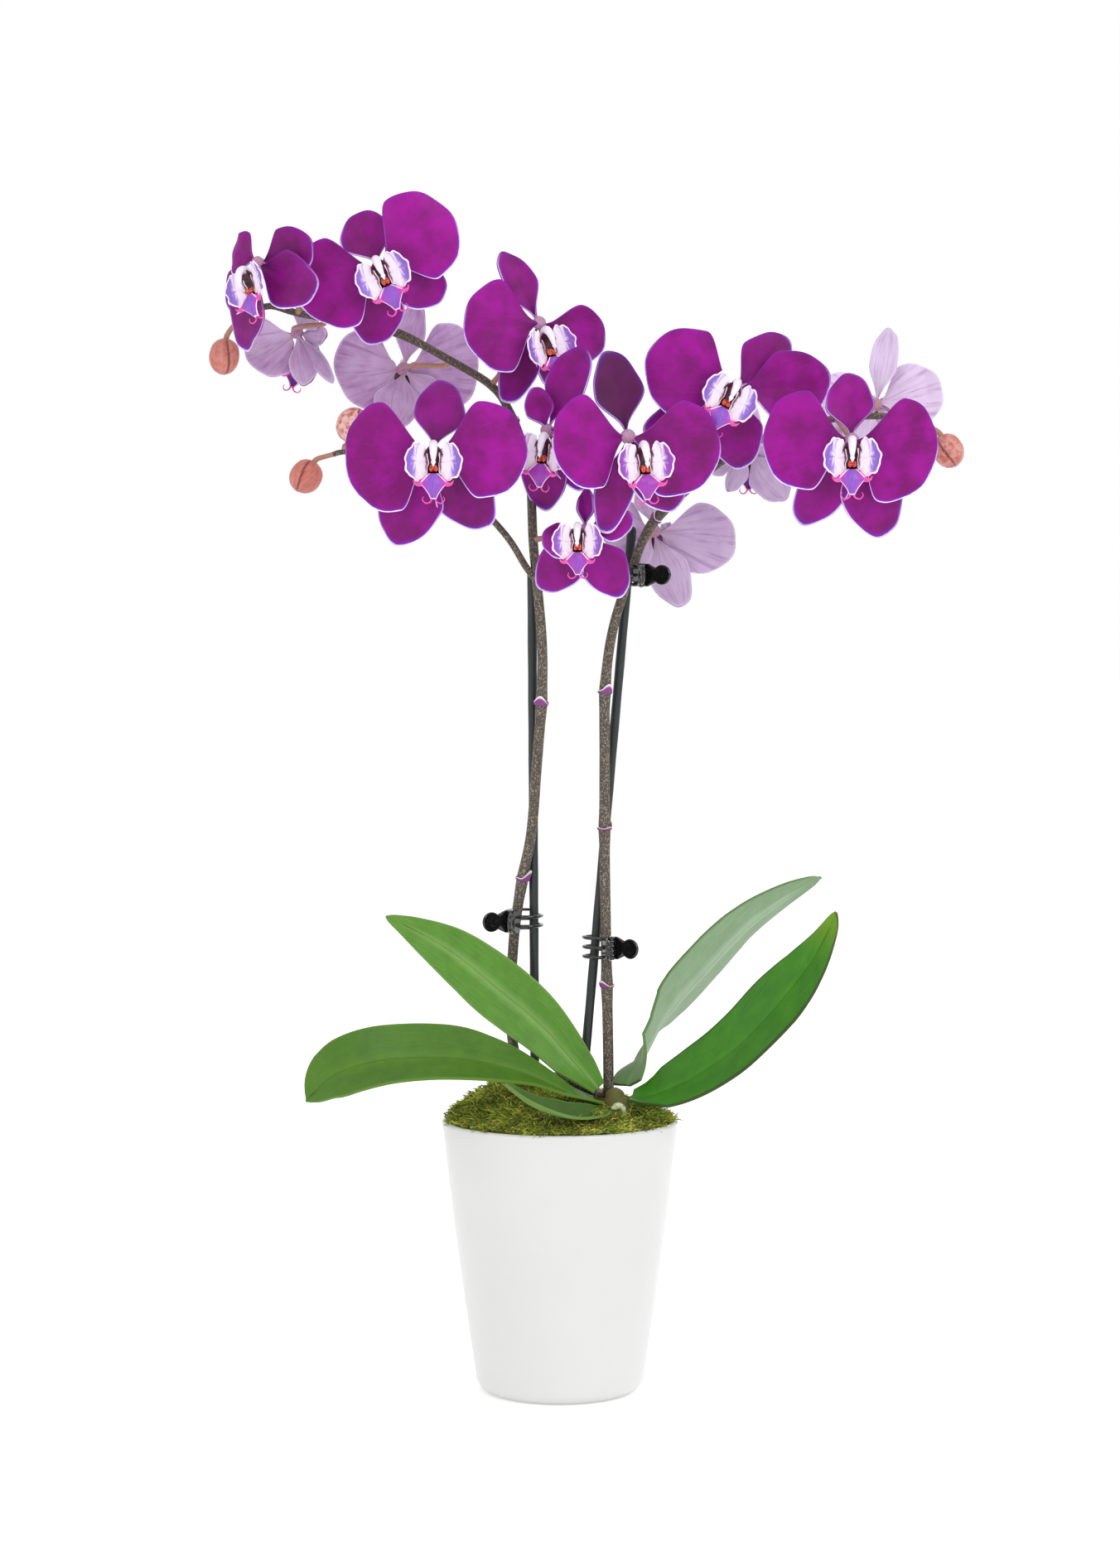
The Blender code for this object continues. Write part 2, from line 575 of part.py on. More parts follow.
def make_lip(number, soil):
    """The lip and the column of one flower: a short thick column over three small lobes."""
    _, (_, _, roll), scale, _, (aside, raised), *_ = FLOWERS[number]
    scale *= SPRAY_SCALE
    size = scale * MM
    frame = (flower_frame(number) @ Matrix.Translation(Vector((aside, 0, raised)) * SPRAY_SCALE * MM)
             @ Matrix.Rotation(math.radians(roll), 4, (0, -1, 0)))
    front = -(3.1 * MM + GAP)
    name = f"flower_{number:02d}_lip"
    bm = bmesh.new()
    path = [Vector((0, front, 0)), Vector((0, front - 5 * size, 1.5 * size)),
            Vector((0, front - 10 * size, 0.5 * size))]
    add_tube(bm, path, [2.2 * size, 2.9 * size, 1.6 * size], 6)
    lip = add_object(name, bm, MATERIALS["lip"], soil)
    lip.matrix_local = frame
    middle = [[Vector((x * width, front - depth, height)) for x in (-1, 1)]
              for width, depth, height in ((2.5 * size, 2.5 * size, -1.2 * size), (4.5 * size, 9 * size, -7 * size),
                                           (7 * size, 9 * size, -15 * size), (3 * size, 5 * size, -23 * size))]
    wings = []
    for side in (-1, 1):
        wings.append([[Vector((side * (1 + out) * size, front - depth * size, height * size))
                       for height, depth in pairs]
                      for out, pairs in ((0, ((-4.2, 5), (0.2, 6))), (7, ((-9, 9), (3, 10))),
                                         (12.5, ((-8, 9), (2, 9.5))))])
    pieces = []
    for label, rows in (("middle", middle), ("wing_a", wings[0]), ("wing_b", wings[1])):
        bm = bmesh.new()
        add_sheet(bm, rows, 1.3 * MM)
        pieces.append(add_helper(f"{name}_{label}", bm, soil))
        pieces[-1].matrix_local = frame
    join_all(lip, pieces)


# Each bud: its middle, the way its tip points, its length and width, its stem and where it joins.
BUDS = {
    "bud_1": ((-184, 9, 419), (-0.12, 0, -1), 20, 16.5, "left", (-177, 8, 437)),
    "bud_2": ((-139, -1, 353), (-0.55, 0, -0.85), 19, 17.5, "branch", (-124, 0, 365)),
    "bud_3": ((-113, 3, 381), (0.35, 0.1, 1), 20, 18.5, "branch", (-117, 0, 366)),
    "bud_4": ((210, -17, 366), (0.45, 0, -0.9), 19, 16.5, "right", (197, -16, 380)),
}


def make_bud(name, stems, soil):
    """A plump closed bud, pointed at its tip, on a short pedicel that starts clear of the stem."""
    middle, direction, length, width, stem_name, join = BUDS[name]
    axis = Vector(direction).normalized()
    frame = Matrix.Translation(spray_point(*middle)) @ axis.to_track_quat("Z", "Y").to_matrix().to_4x4()
    length, width = length * SPRAY_SCALE * MM, width * SPRAY_SCALE * MM
    profile = [(0, -0.5), (0.30, -0.42), (0.47, -0.20), (0.50, 0.05), (0.38, 0.32), (0.17, 0.46), (0, 0.5)]
    bm = bmesh.new()
    add_lathe(bm, [(radius * width, height * length) for radius, height in profile], 8)
    bud = add_object(name, bm, MATERIALS["bud"], soil)
    bud.matrix_local = frame
    path, radii = stems[stem_name]
    index = nearest(path, spray_point(*join))
    top = frame @ Vector((0, 0, -length * 0.5))
    aim = top - path[index]
    if index == len(path) - 1:
        start = path[index] + path_tangent(path, index) * GAP
        bend = start + path_tangent(path, index) * 2 * MM
    else:
        tangent = path_tangent(path, index)
        square = (aim - tangent * aim.dot(tangent)).normalized()
        start = path[index] + square * (radii[index] + GAP)
        bend = start + square * 1 * MM
    points = [start, bend, top + (frame.to_3x3() @ Vector((0, 0, 1))) * 2 * MM]
    inverse = frame.inverted()
    bm = bmesh.new()
    add_tube(bm, [inverse @ point for point in points], [PEDICEL_RADIUS] * 3, 6)
    pedicel = add_helper(f"{name}_pedicel", bm, soil)
    pedicel.matrix_local = frame
    boolean(bud, pedicel, "UNION")


# Each clip: its height above the rim's plane, the spike and the stake that it holds, and the
# direction of its thumb pads, in degrees from +X.
CLIPS = {
    "clip_1": (109, "left", STAKE_LEFT_ENDS, 232),
    "clip_2": (96, "right", STAKE_RIGHT_ENDS, 298),
    "clip_3": (299, "right", STAKE_RIGHT_ENDS, 306),
}


def clip_spans(stems):
    """Each clip's centre, and the radius that clears what it holds over the clip's height."""
    centres, reaches = {}, []
    for name, (height, stem_name, ends, _) in CLIPS.items():
        path, _ = stems[stem_name]
        stem = point_at_height(path, height * MM)
        stake = stake_point(ends, height * MM)
        apart = (stake - stem).normalized()
        centre = (stem + apart * -STEM_RADIUS + stake + apart * STAKE_RADIUS) / 2
        centres[name] = centre
        for offset in (-0.5, 0, 0.5):
            level = height * MM + offset * CLIP_HEIGHT
            for point, radius in ((point_at_height(path, level), STEM_RADIUS), (stake_point(ends, level), STAKE_RADIUS)):
                reaches.append((point - centre).to_2d().length + radius)
    return centres, max(reaches) + GAP


def add_bar(bm, centre_line, low, high, half):
    """A flat bar that follows a line in plan, from one height to another."""
    rings = []
    for index, point in enumerate(centre_line):
        tangent = path_tangent(centre_line, index)
        side = Vector((-tangent.y, tangent.x, 0)) * half
        corners = ((side, low), (side, high), (-side, high), (-side, low))
        rings.append([bm.verts.new(point + offset + Vector((0, 0, level))) for offset, level in corners])
    join_rings(bm, rings)


def jaw_helpers(name, side, levels, ring_radius, knuckle, parent):
    """The pieces of one jaw in the hinge's frame: +X is towards the ring's middle."""
    pieces = []
    finger_height = CLIP_HEIGHT / 5 - GAP
    middle = ring_radius + CLIP_BAR / 2
    centre = Vector((knuckle + ring_radius, 0, 0))
    for level in levels:
        low = (level - 2.5) * CLIP_HEIGHT / 5 + GAP / 2
        line = []
        for step in range(8):
            angle = math.radians(180 - side * (8 + 176 * step / 7))
            line.append(centre + Vector((math.cos(angle), math.sin(angle), 0)) * middle)
        bm = bmesh.new()
        add_bar(bm, line, low, low + finger_height, CLIP_BAR / 2)
        pieces.append(add_helper(f"{name}_finger_{level}", bm, parent))
        bm = bmesh.new()
        bmesh.ops.create_cone(bm, cap_ends=True, segments=8, radius1=knuckle, radius2=knuckle, depth=finger_height,
                              matrix=Matrix.Translation((0, 0, low + finger_height / 2)))
        pieces.append(add_helper(f"{name}_knuckle_{level}", bm, parent))
    return pieces


def make_jaw(clip, label, side, levels, ring_radius, hinge, material):
    """One jaw: a slab beside the hinge that carries its fingers, knuckles and thumb pad."""
    knuckle = CLIP_PIN_RADIUS + GAP + 1.2 * MM
    name = f"{clip}_{label}"
    slab_top = CLIP_HEIGHT / 2 - GAP / 2
    flare = Vector((-math.cos(math.radians(24)), side * math.sin(math.radians(24)), 0))
    bm = bmesh.new()
    inner = Vector((1.5 * MM, side * (knuckle + 1.1 * MM), 0))
    line = [inner, Vector((-1.5 * MM, side * (knuckle + 1.1 * MM), 0)),
            Vector((-1.5 * MM, side * (knuckle + 1.1 * MM), 0)) + flare * 5 * MM]
    add_bar(bm, line, -slab_top, slab_top, 0.8 * MM)
    jaw = add_object(name, bm, material, hinge, smooth=False)
    pad_middle = line[2] + flare * (CLIP_PAD_RADIUS - 2 * MM)
    turn = Matrix.Rotation(math.atan2(flare.y, flare.x), 4, "Z") @ Matrix.Rotation(math.radians(90), 4, "X")
    bm = bmesh.new()
    bmesh.ops.create_cone(bm, cap_ends=True, segments=12, radius1=CLIP_PAD_RADIUS, radius2=CLIP_PAD_RADIUS,
                          depth=1.8 * MM, matrix=Matrix.Translation(pad_middle) @ turn)
    pieces = [add_helper(f"{name}_pad", bm, hinge)]
    pieces += jaw_helpers(name, side, levels, ring_radius, knuckle, hinge)
    for level in levels:
        low = (level - 2.5) * CLIP_HEIGHT / 5 + GAP / 2
        high = low + CLIP_HEIGHT / 5 - GAP
        bm = bmesh.new()
        add_bar(bm, [Vector((0, 0, 0)), Vector((0.2 * MM, side * (knuckle + 1.3 * MM), 0))], low, high, 1.4 * MM)
        pieces.append(add_helper(f"{name}_web_{level}", bm, hinge))
    join_all(jaw, pieces)
    bm = bmesh.new()
    bmesh.ops.create_cone(bm, cap_ends=True, segments=8, radius1=CLIP_PIN_RADIUS + GAP,
                          radius2=CLIP_PIN_RADIUS + GAP, depth=CLIP_HEIGHT * 1.5)
    boolean(jaw, add_helper(f"{name}_bore", bm, hinge), "DIFFERENCE")


def make_clip(name, centre, ring_radius, soil):
    """A claw clip: two jaws on a hinge pin, whose fingers close round a spike and its stake."""
    direction = math.radians(CLIPS[name][3])
    knuckle = CLIP_PIN_RADIUS + GAP + 1.2 * MM
    offset = ring_radius + knuckle
    hinge = bpy.data.objects.new(f"{name}_hinge", None)
    bpy.context.scene.collection.objects.link(hinge)
    hinge.parent = soil
    hinge.location = centre + Vector((math.cos(direction), math.sin(direction), 0)) * offset
    hinge.rotation_euler = (0, 0, direction + math.pi)
    make_jaw(name, "jaw_back", 1, (0, 2, 4), ring_radius, hinge, MATERIALS["clip"])
    make_jaw(name, "jaw_front", -1, (1, 3), ring_radius, hinge, MATERIALS["clip"])
    bm = bmesh.new()
    bmesh.ops.create_cone(bm, cap_ends=True, segments=8, radius1=CLIP_PIN_RADIUS, radius2=CLIP_PIN_RADIUS,
                          depth=CLIP_HEIGHT + 1 * MM)
    add_object(f"{name}_pin", bm, MATERIALS["pin"], hinge)


def make_root(soil):
    """A short pale aerial root that noses out of the moss in front of the crown."""
    bm = bmesh.new()
    points = [Vector(point) * MM for point in ((34, -29, 5), (34, -31, 9), (32.5, -33, 10.5), (30.5, -34.5, 9.5))]
    add_tube(bm, smooth_path(points, 4 * MM), [1.4 * MM, 1.5 * MM, 1.5 * MM, 1.2 * MM], 8)
    add_object("aerial_root", bm, MATERIALS["root"], soil)
    bm = bmesh.new()
    add_tube(bm, [Vector((34, -28, 3)) * MM, Vector((34, -31, 9.5)) * MM, Vector((34, -33, 20)) * MM],
             [3.2 * MM] * 3, 8)
    return add_helper("aerial_root_hole", bm, soil)


def make_spike_hole(path, soil):
    """The hole in the moss for the right spike, which grows out of it behind the crown."""
    bm = bmesh.new()
    add_tube(bm, [path[0] - Vector((0, 0, 2 * GAP)), path[1], path[2], path[3]],
             [STEM_RADIUS + GAP] * 4, 8)
    return add_helper("spike_right_hole", bm, soil)


clear_scene()

MATERIALS = {
    "ceramic": make_material("ceramic", (0.86, 0.86, 0.86), 0.32),
    "bark": make_material("bark", (0.10, 0.055, 0.03), 0.9),
    "moss": make_material("moss", (0.12, 0.15, 0.03), 0.95),
    "crown": make_material("crown", (0.13, 0.18, 0.05), 0.6),
    "root": make_material("root", (0.55, 0.56, 0.42), 0.6),
    "leaf_1": make_material("leaf_1", (0.10, 0.24, 0.03), 0.38),
    "leaf_2": make_material("leaf_2", (0.10, 0.22, 0.03), 0.38),
    "leaf_3": make_material("leaf_3", (0.15, 0.32, 0.04), 0.38),
    "leaf_4": make_material("leaf_4", (0.10, 0.19, 0.07), 0.42),
    "leaf_5": make_material("leaf_5", (0.04, 0.14, 0.02), 0.35),
    "stem": make_material("stem", (0.16, 0.12, 0.08), 0.5),
    "stake": make_material("stake", (0.02, 0.03, 0.02), 0.45),
    "flower": make_material("flower", (0.32, 0.01, 0.30), 0.5),
    "lip": make_material("lip", (0.16, 0.04, 0.45), 0.45),
    "bud": make_material("bud", (0.50, 0.22, 0.20), 0.5),
    "clip": make_material("clip", (0.01, 0.01, 0.01), 0.2),
    "pin": make_material("pin", (0.6, 0.6, 0.6), 0.3, 1.0),
    "helper": make_material("helper", (0.5, 0.5, 0.5), 0.5),
}

# Everything above the pot hangs from one empty in the rim's plane.
SOIL = bpy.data.objects.new("soil_level", None)
bpy.context.scene.collection.objects.link(SOIL)
SOIL.location = (0, 0, POT_HEIGHT)

make_pot()
STAKE_HOLES = [make_stake("stake_left", STAKE_LEFT_ENDS, SOIL), make_stake("stake_right", STAKE_RIGHT_ENDS, SOIL)]
make_bark(STAKE_HOLES)
CROWN_HOLE = make_crown(SOIL)
ROOT_HOLE = make_root(SOIL)
for leaf_name in LEAVES:
    make_leaf(leaf_name, SOIL)

STEMS = {
    "left": make_spike("spike_left", SPIKE_LEFT_STALK, SPIKE_LEFT_SPRAY, SPIKE_LEFT_NODES, SOIL, STALK_STAND_OFF),
    "right": make_spike("spike_right", SPIKE_RIGHT_STALK, SPIKE_RIGHT_SPRAY, SPIKE_RIGHT_NODES, SOIL),
}
BRANCH_PATH = smooth_path([spray_point(*point) for point in BRANCH_SPRAY], 17 * MM)
STEMS["branch"] = (BRANCH_PATH, [BRANCH_RADIUS] * len(BRANCH_PATH))
make_stem("spike_left_branch", *STEMS["branch"], SOIL)
make_moss([CROWN_HOLE, ROOT_HOLE, make_spike_hole(STEMS["right"][0], SOIL)] + STAKE_HOLES)

for flower_number in FLOWERS:
    make_flower(flower_number, STEMS, SOIL)
    make_lip(flower_number, SOIL)
for bud_name in BUDS:
    make_bud(bud_name, STEMS, SOIL)

CLIP_CENTRES, CLIP_RING = clip_spans(STEMS)
for clip_name in CLIPS:
    make_clip(clip_name, CLIP_CENTRES[clip_name], CLIP_RING, SOIL)
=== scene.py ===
import math
import random

import bpy
from mathutils import Matrix, Vector, noise


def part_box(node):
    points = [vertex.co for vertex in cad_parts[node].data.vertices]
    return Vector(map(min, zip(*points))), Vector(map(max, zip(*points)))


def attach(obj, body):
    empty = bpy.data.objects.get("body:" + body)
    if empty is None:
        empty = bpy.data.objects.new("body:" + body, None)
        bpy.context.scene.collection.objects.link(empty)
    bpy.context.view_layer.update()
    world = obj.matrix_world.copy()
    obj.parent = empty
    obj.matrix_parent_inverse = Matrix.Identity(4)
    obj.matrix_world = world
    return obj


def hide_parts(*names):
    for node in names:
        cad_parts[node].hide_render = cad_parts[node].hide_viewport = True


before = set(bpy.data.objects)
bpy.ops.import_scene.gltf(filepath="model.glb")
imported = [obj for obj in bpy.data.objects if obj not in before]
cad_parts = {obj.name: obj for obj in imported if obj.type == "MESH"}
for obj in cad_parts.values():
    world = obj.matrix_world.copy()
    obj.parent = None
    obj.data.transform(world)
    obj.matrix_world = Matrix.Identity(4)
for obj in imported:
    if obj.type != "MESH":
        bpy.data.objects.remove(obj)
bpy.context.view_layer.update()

# A potted moth orchid with two staked sprays of purple flowers, put together from the pot up.
# Sizes are metres unless they are multiplied by MM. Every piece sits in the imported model's own space.
MM = 0.001


# ---------------------------------------------------------------------------------------------
# The studio: a pale floor that runs out to white, a big soft lamp from the upper right, a weaker
# one from the left, a smaller one for gloss, and the camera a little above the middle of the plant.
def select_nothing():
    bpy.ops.object.select_all(action="DESELECT")


def edit_whole():
    """Starts an edit of the active mesh with all of it selected."""
    bpy.ops.object.mode_set(mode="EDIT")
    bpy.ops.mesh.select_all(action="SELECT")


def end_edit():
    """Ends an edit with every face turned outwards."""
    bpy.ops.mesh.select_all(action="SELECT")
    bpy.ops.mesh.normals_make_consistent(inside=False)
    bpy.ops.object.mode_set(mode="OBJECT")


def paint(mesh, name, values):
    """One value for each point of a mesh, for its finish to read."""
    mesh.attributes.new(name, "FLOAT", "POINT").data.foreach_set("value", values)


def in_mm(points):
    return [tuple(value * MM for value in point) for point in points]


def aim(thing, target):
    thing.rotation_euler = (Vector(target) - thing.location).to_track_quat("-Z", "Y").to_euler()


CAMERA_PLACE, CAMERA_TARGET, LAMP_TARGET = (0, -1.8, 0.416), (0, 0, 0.3347), (0, 0, 0.38)
select_nothing()
bpy.ops.object.camera_add(location=CAMERA_PLACE)
camera = bpy.context.object
camera.name = "studio_camera"
camera.data.lens = 75.35
aim(camera, CAMERA_TARGET)
bpy.context.scene.camera = camera

for lamp_name, place, size, power in (
        ("key_lamp", (1.5, -1.7, 1.8), 1.3, 20.0),
        ("fill_lamp", (-1.9, -1.3, 0.9), 1.6, 5.0),
        ("gloss_lamp", (-0.5, -1.6, 2.1), 0.5, 5.0),
        ("back_lamp", (0.6, 2.0, 1.5), 1.5, 8.0)):
    bpy.ops.object.light_add(type="AREA", location=place)
    lamp = bpy.context.object
    lamp.name = lamp_name
    lamp.data.size = size
    lamp.data.energy = power
    aim(lamp, LAMP_TARGET)

AIR_LIGHT, AIR_SEEN = 0.80, 1.0
studio_air = bpy.data.worlds.new("studio_air")
bpy.context.scene.world = studio_air
studio_air.use_nodes = True
air_nodes = studio_air.node_tree.nodes
air_nodes["Background"].inputs["Color"].default_value = (1, 1, 1, 1)
air_seen = air_nodes.new("ShaderNodeLightPath")
air_level = air_nodes.new("ShaderNodeMapRange")
air_level.inputs["To Min"].default_value = AIR_LIGHT
air_level.inputs["To Max"].default_value = AIR_SEEN
studio_air.node_tree.links.new(air_seen.outputs["Is Camera Ray"], air_level.inputs["Value"])
studio_air.node_tree.links.new(air_level.outputs["Result"], air_nodes["Background"].inputs["Strength"])
bpy.context.scene.view_settings.view_transform = "Standard"
bpy.context.scene.view_settings.look = "None"


class Link:
    """A socket's value. Arithmetic on it adds Math nodes, and node() adds any other node."""

    def __init__(self, tree, socket):
        self.tree, self.socket = tree, socket

    def node(self, kind, sockets, output=0, stops=(), **settings):
        made = self.tree.nodes.new(kind)
        for setting, value in settings.items():
            setattr(made, setting, value)
        for index, (position, colour) in enumerate(stops):
            ramp = made.color_ramp.elements
            stop = ramp[index] if index < 2 else ramp.new(position)
            stop.position, stop.color = position, colour
        for name, value in sockets.items():
            if isinstance(value, Link):
                self.tree.links.new(value.socket, made.inputs[name])
            else:
                made.inputs[name].default_value = value
        return Link(self.tree, made.outputs[output])

    def maths(self, operation, first, second):
        return self.node("ShaderNodeMath", {0: first, 1: second}, operation=operation)

    def __add__(self, other):
        return self.maths("ADD", self, other)

    __radd__ = __add__

    def __sub__(self, other):
        return self.maths("SUBTRACT", self, other)

    def __mul__(self, other):
        return self.maths("MULTIPLY", self, other)

    __rmul__ = __mul__


def shade(red, green, blue):
    """A colour given as it looks on screen, from 0 to 255, turned to the shader's linear light."""
    levels = [channel / 255 for channel in (red, green, blue)]
    return (*[c / 12.92 if c < 0.04045 else ((c + 0.055) / 1.055) ** 2.4 for c in levels], 1)


def band(value, low, high):
    """A smooth step of a value from 0 at low to 1 at high."""
    return value.node("ShaderNodeMapRange", {0: value, 1: low, 2: high, 3: 0.0, 4: 1.0},
                      interpolation_type="SMOOTHSTEP")


def blend(share, first, second):
    """A colour between two, by a share."""
    return share.node("ShaderNodeMix", {0: share, 6: first, 7: second}, output=2, data_type="RGBA")


def grain(place, size, detail=3.0, stretch=(1, 1, 1), shift=(0, 0, 0)):
    """Smooth noise from 0 to 1 whose spots are about one size across, longer where stretched."""
    scale = [1 / (size * length) for length in stretch]
    spread = place.node("ShaderNodeMapping", {"Vector": place, "Location": shift, "Scale": scale})
    return place.node("ShaderNodeTexNoise", {"Vector": spread, "Scale": 1.0, "Detail": detail, "Roughness": 0.55})


def start_finish(name, steady):
    """A material with its steady sockets set, and its object and surface coordinates."""
    material = bpy.data.materials.new(name)
    material.use_nodes = True
    tree = material.node_tree
    for socket, value in steady.items():
        tree.nodes["Principled BSDF"].inputs[socket].default_value = value
    source = tree.nodes.new("ShaderNodeTexCoord")
    return material, Link(tree, source.outputs["Object"]), Link(tree, source.outputs["UV"])


def painted(place, name):
    """A value that was painted on the mesh's points."""
    return place.node("ShaderNodeAttribute", {}, output="Fac", attribute_name=name)


def feed(material, colour, roughness, relief=None, height=0.0005):
    """Sends a finish's patterns to its shader, the relief as a bump of a given height."""
    tree = material.node_tree
    shader = tree.nodes["Principled BSDF"]
    tree.links.new(colour.socket, shader.inputs["Base Color"])
    tree.links.new(roughness.socket, shader.inputs["Roughness"])
    if relief:
        bump = relief.node("ShaderNodeBump", {"Height": relief, "Strength": 1.0, "Distance": height}, output="Normal")
        tree.links.new(bump.socket, shader.inputs["Normal"])


floor_finish, spot, _ = start_finish("studio_floor", {"Specular IOR Level": 0.1, "Emission Strength": 0.28})
feed(floor_finish, blend(grain(spot, 0.3), (0.93, 0.93, 0.93, 1), (0.95, 0.95, 0.95, 1)),
     grain(spot, 0.1) * 0.1 + 0.6)
select_nothing()
bpy.ops.mesh.primitive_plane_add(size=60, location=(0, 0, -0.0001))
floor = bpy.context.object
floor.name = "studio_floor_sheet"
floor.data.materials.append(floor_finish)


# ---------------------------------------------------------------------------------------------
# The pot: a tapering white glazed ceramic planter with a slight belly, a softly rounded lip and
# foot, and a shallow recess under the foot. It is thrown in one piece, here drawn up ring by ring.
POT_HEIGHT, POT_LIP, POT_FOOT = 150 * MM, 65 * MM, 46.5 * MM
FOOT_ROUND, POT_WALL = 9 * MM, 3.5 * MM
RIM = POT_HEIGHT


def pot_radius(height):
    share = max(0.0, (height - FOOT_ROUND) / (POT_HEIGHT - FOOT_ROUND))
    return POT_FOOT + (POT_LIP - POT_FOOT) * share + 0.9 * MM * math.sin(math.pi * share)


def quarter(centre_radius, centre_height, size, start, end, steps):
    """Profile points round part of a circle, its angles in degrees from outwards towards up."""
    angles = [math.radians(start + (end - start) * step / steps) for step in range(steps + 1)]
    return [(centre_radius + size * math.cos(a), centre_height + size * math.sin(a)) for a in angles]


def turned(name, profile, sides, material, smooth_angle=40):
    """A round piece about Z: a disc at the first (radius, height), extruded and resized ring by ring."""
    select_nothing()
    bpy.ops.mesh.primitive_circle_add(vertices=sides, radius=profile[0][0], fill_type="NGON", location=(0, 0, 0))
    piece = bpy.context.object
    piece.name = piece.data.name = name
    edit_whole()
    bpy.ops.transform.translate(value=(0, 0, profile[0][1]))
    for (radius, height), (wider, higher) in zip(profile, profile[1:]):
        bpy.ops.mesh.extrude_region_move(TRANSFORM_OT_translate={"value": (0, 0, higher - height)})
        bpy.ops.transform.resize(value=(wider / radius, wider / radius, 1), center_override=(0, 0, higher))
    end_edit()
    bpy.ops.object.shade_smooth_by_angle(angle=math.radians(smooth_angle))
    piece.data.materials.append(material)
    return piece


def fix(piece, nodes, body="root"):
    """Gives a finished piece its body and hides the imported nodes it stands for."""
    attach(piece, body)
    if nodes:
        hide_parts(*nodes)


glaze, spot, _ = start_finish("white_glaze", {"Coat Weight": 0.35, "Coat Roughness": 0.12, "IOR": 1.5})
glaze_cloud = grain(spot, 60 * MM, 2)
glaze_speck = band(grain(spot, 0.9 * MM, 1), 0.74, 0.80)
# The glaze turns darker and rougher within 5 mm of the bottom.
foot_band = band(spot.node("ShaderNodeSeparateXYZ", {"Vector": spot}, output="Z"), 5 * MM, 0.5 * MM)
glaze_colour = blend(glaze_cloud, (0.63, 0.627, 0.625, 1), (0.68, 0.68, 0.676, 1))
glaze_colour = blend(glaze_speck * 0.12, glaze_colour, (0.46, 0.45, 0.43, 1))
feed(glaze, blend(foot_band * 0.35, glaze_colour, (0.50, 0.49, 0.47, 1)),
     0.30 + 0.12 * glaze_cloud + 0.2 * foot_band,
     0.8 * grain(spot, 22 * MM, 2) + 0.08 * grain(spot, 1.2 * MM, 2), 0.35 * MM)

pot_profile = [(33 * MM, 2.4 * MM), (33.6 * MM, 0.8 * MM), (34.6 * MM, 0), (37.5 * MM, 0)]
pot_profile += quarter(POT_FOOT - FOOT_ROUND, FOOT_ROUND, FOOT_ROUND, -82, 0, 9)
wall_heights = [FOOT_ROUND + (POT_HEIGHT - FOOT_ROUND) * step / 14 for step in range(1, 14)]
pot_profile += [(pot_radius(height), height) for height in wall_heights]
pot_profile += quarter(POT_LIP - POT_WALL / 2, POT_HEIGHT - POT_WALL / 2, POT_WALL / 2, 0, 180, 10)
pot_profile += [(pot_radius(height) - POT_WALL, height) for height in reversed(wall_heights)]
pot_profile += quarter(POT_FOOT - FOOT_ROUND, 14 * MM, 7.2 * MM, 0, -90, 4)[1:] + [(1 * MM, 6.8 * MM)]
pot = turned("planter", pot_profile, 128, glaze)
fix(pot, ["pot"])


# ---------------------------------------------------------------------------------------------
# The potting bark: a plug of chipped pine bark that the plant roots in, packed under the moss.
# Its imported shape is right, so it stays, with a finish of chips in browns.
bark, spot, _ = start_finish("pine_bark", {"Specular IOR Level": 0.2})
chip = spot.node("ShaderNodeTexVoronoi", {"Vector": spot, "Scale": 140.0}, output="Color")
# The dark lines in the gaps between chips are painted shade, and the same mask sinks the gaps in the relief.
chip_gap_and_shade = band(spot.node("ShaderNodeTexVoronoi", {"Vector": spot, "Scale": 140.0}, feature="DISTANCE_TO_EDGE"), 0.0,
                 0.12)
chip_tone = spot.node("ShaderNodeSeparateColor", {"Color": chip}, output="Red")
bark_colour = blend(chip_tone, shade(52, 32, 20), shade(128, 84, 52))
feed(bark, blend(chip_gap_and_shade, shade(22, 14, 9), blend(grain(spot, 2 * MM) * 0.5, bark_colour, shade(70, 48, 32))),
     0.75 + 0.2 * chip_tone, chip_gap_and_shade * 0.7 + 0.3 * grain(spot, 1 * MM, 4, (1, 4, 1)), 1.5 * MM)
bark_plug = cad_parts["potting_bark"]
bark_plug.data.materials.clear()
bark_plug.data.materials.append(bark)


# ---------------------------------------------------------------------------------------------
# The moss: a pad of dried sheet moss laid over the bark, lumpy and higher at the back left, with
# thousands of short curled strands. The pad is one rounded sheet and the strands are fine needles.
MOSS_RADIUS, STRAND_SPREAD, STRAND_COUNT = 61.0 * MM, 63.2 * MM, 13000


def noisy(x, y, z, size):
    return noise.noise(Vector((x, y, z)) / size)


def moss_height(x, y):
    dome = 12 * MM * (1 - (x * x + y * y) / (61.1 * MM) ** 2)
    hump = (Vector((x, y)) - Vector((-24, 17)) * MM).length / (20 * MM)
    lumps = (2.2 * MM * noisy(x, y, 0.3, 13 * MM) + 1.1 * MM * noisy(x, y, 0.7, 5 * MM)
             + 0.5 * MM * noisy(x, y, 0.1, 2 * MM))
    return RIM + dome + 11 * MM * math.exp(-hump * hump / 2) + 1.0 * MM + lumps


def round_grid(name, steps, radius, material):
    """A disc of four-sided faces: a grid primitive whose square is eased out to a circle."""
    select_nothing()
    bpy.ops.mesh.primitive_grid_add(x_subdivisions=steps, y_subdivisions=steps, size=2, location=(0, 0, 0))
    disc = bpy.context.object
    disc.name = disc.data.name = name
    for point in disc.data.vertices:
        x, y = point.co.x, point.co.y
        point.co = Vector((x * math.sqrt(1 - y * y / 2), y * math.sqrt(1 - x * x / 2), 0)) * radius
    disc.data.materials.append(material)
    return disc


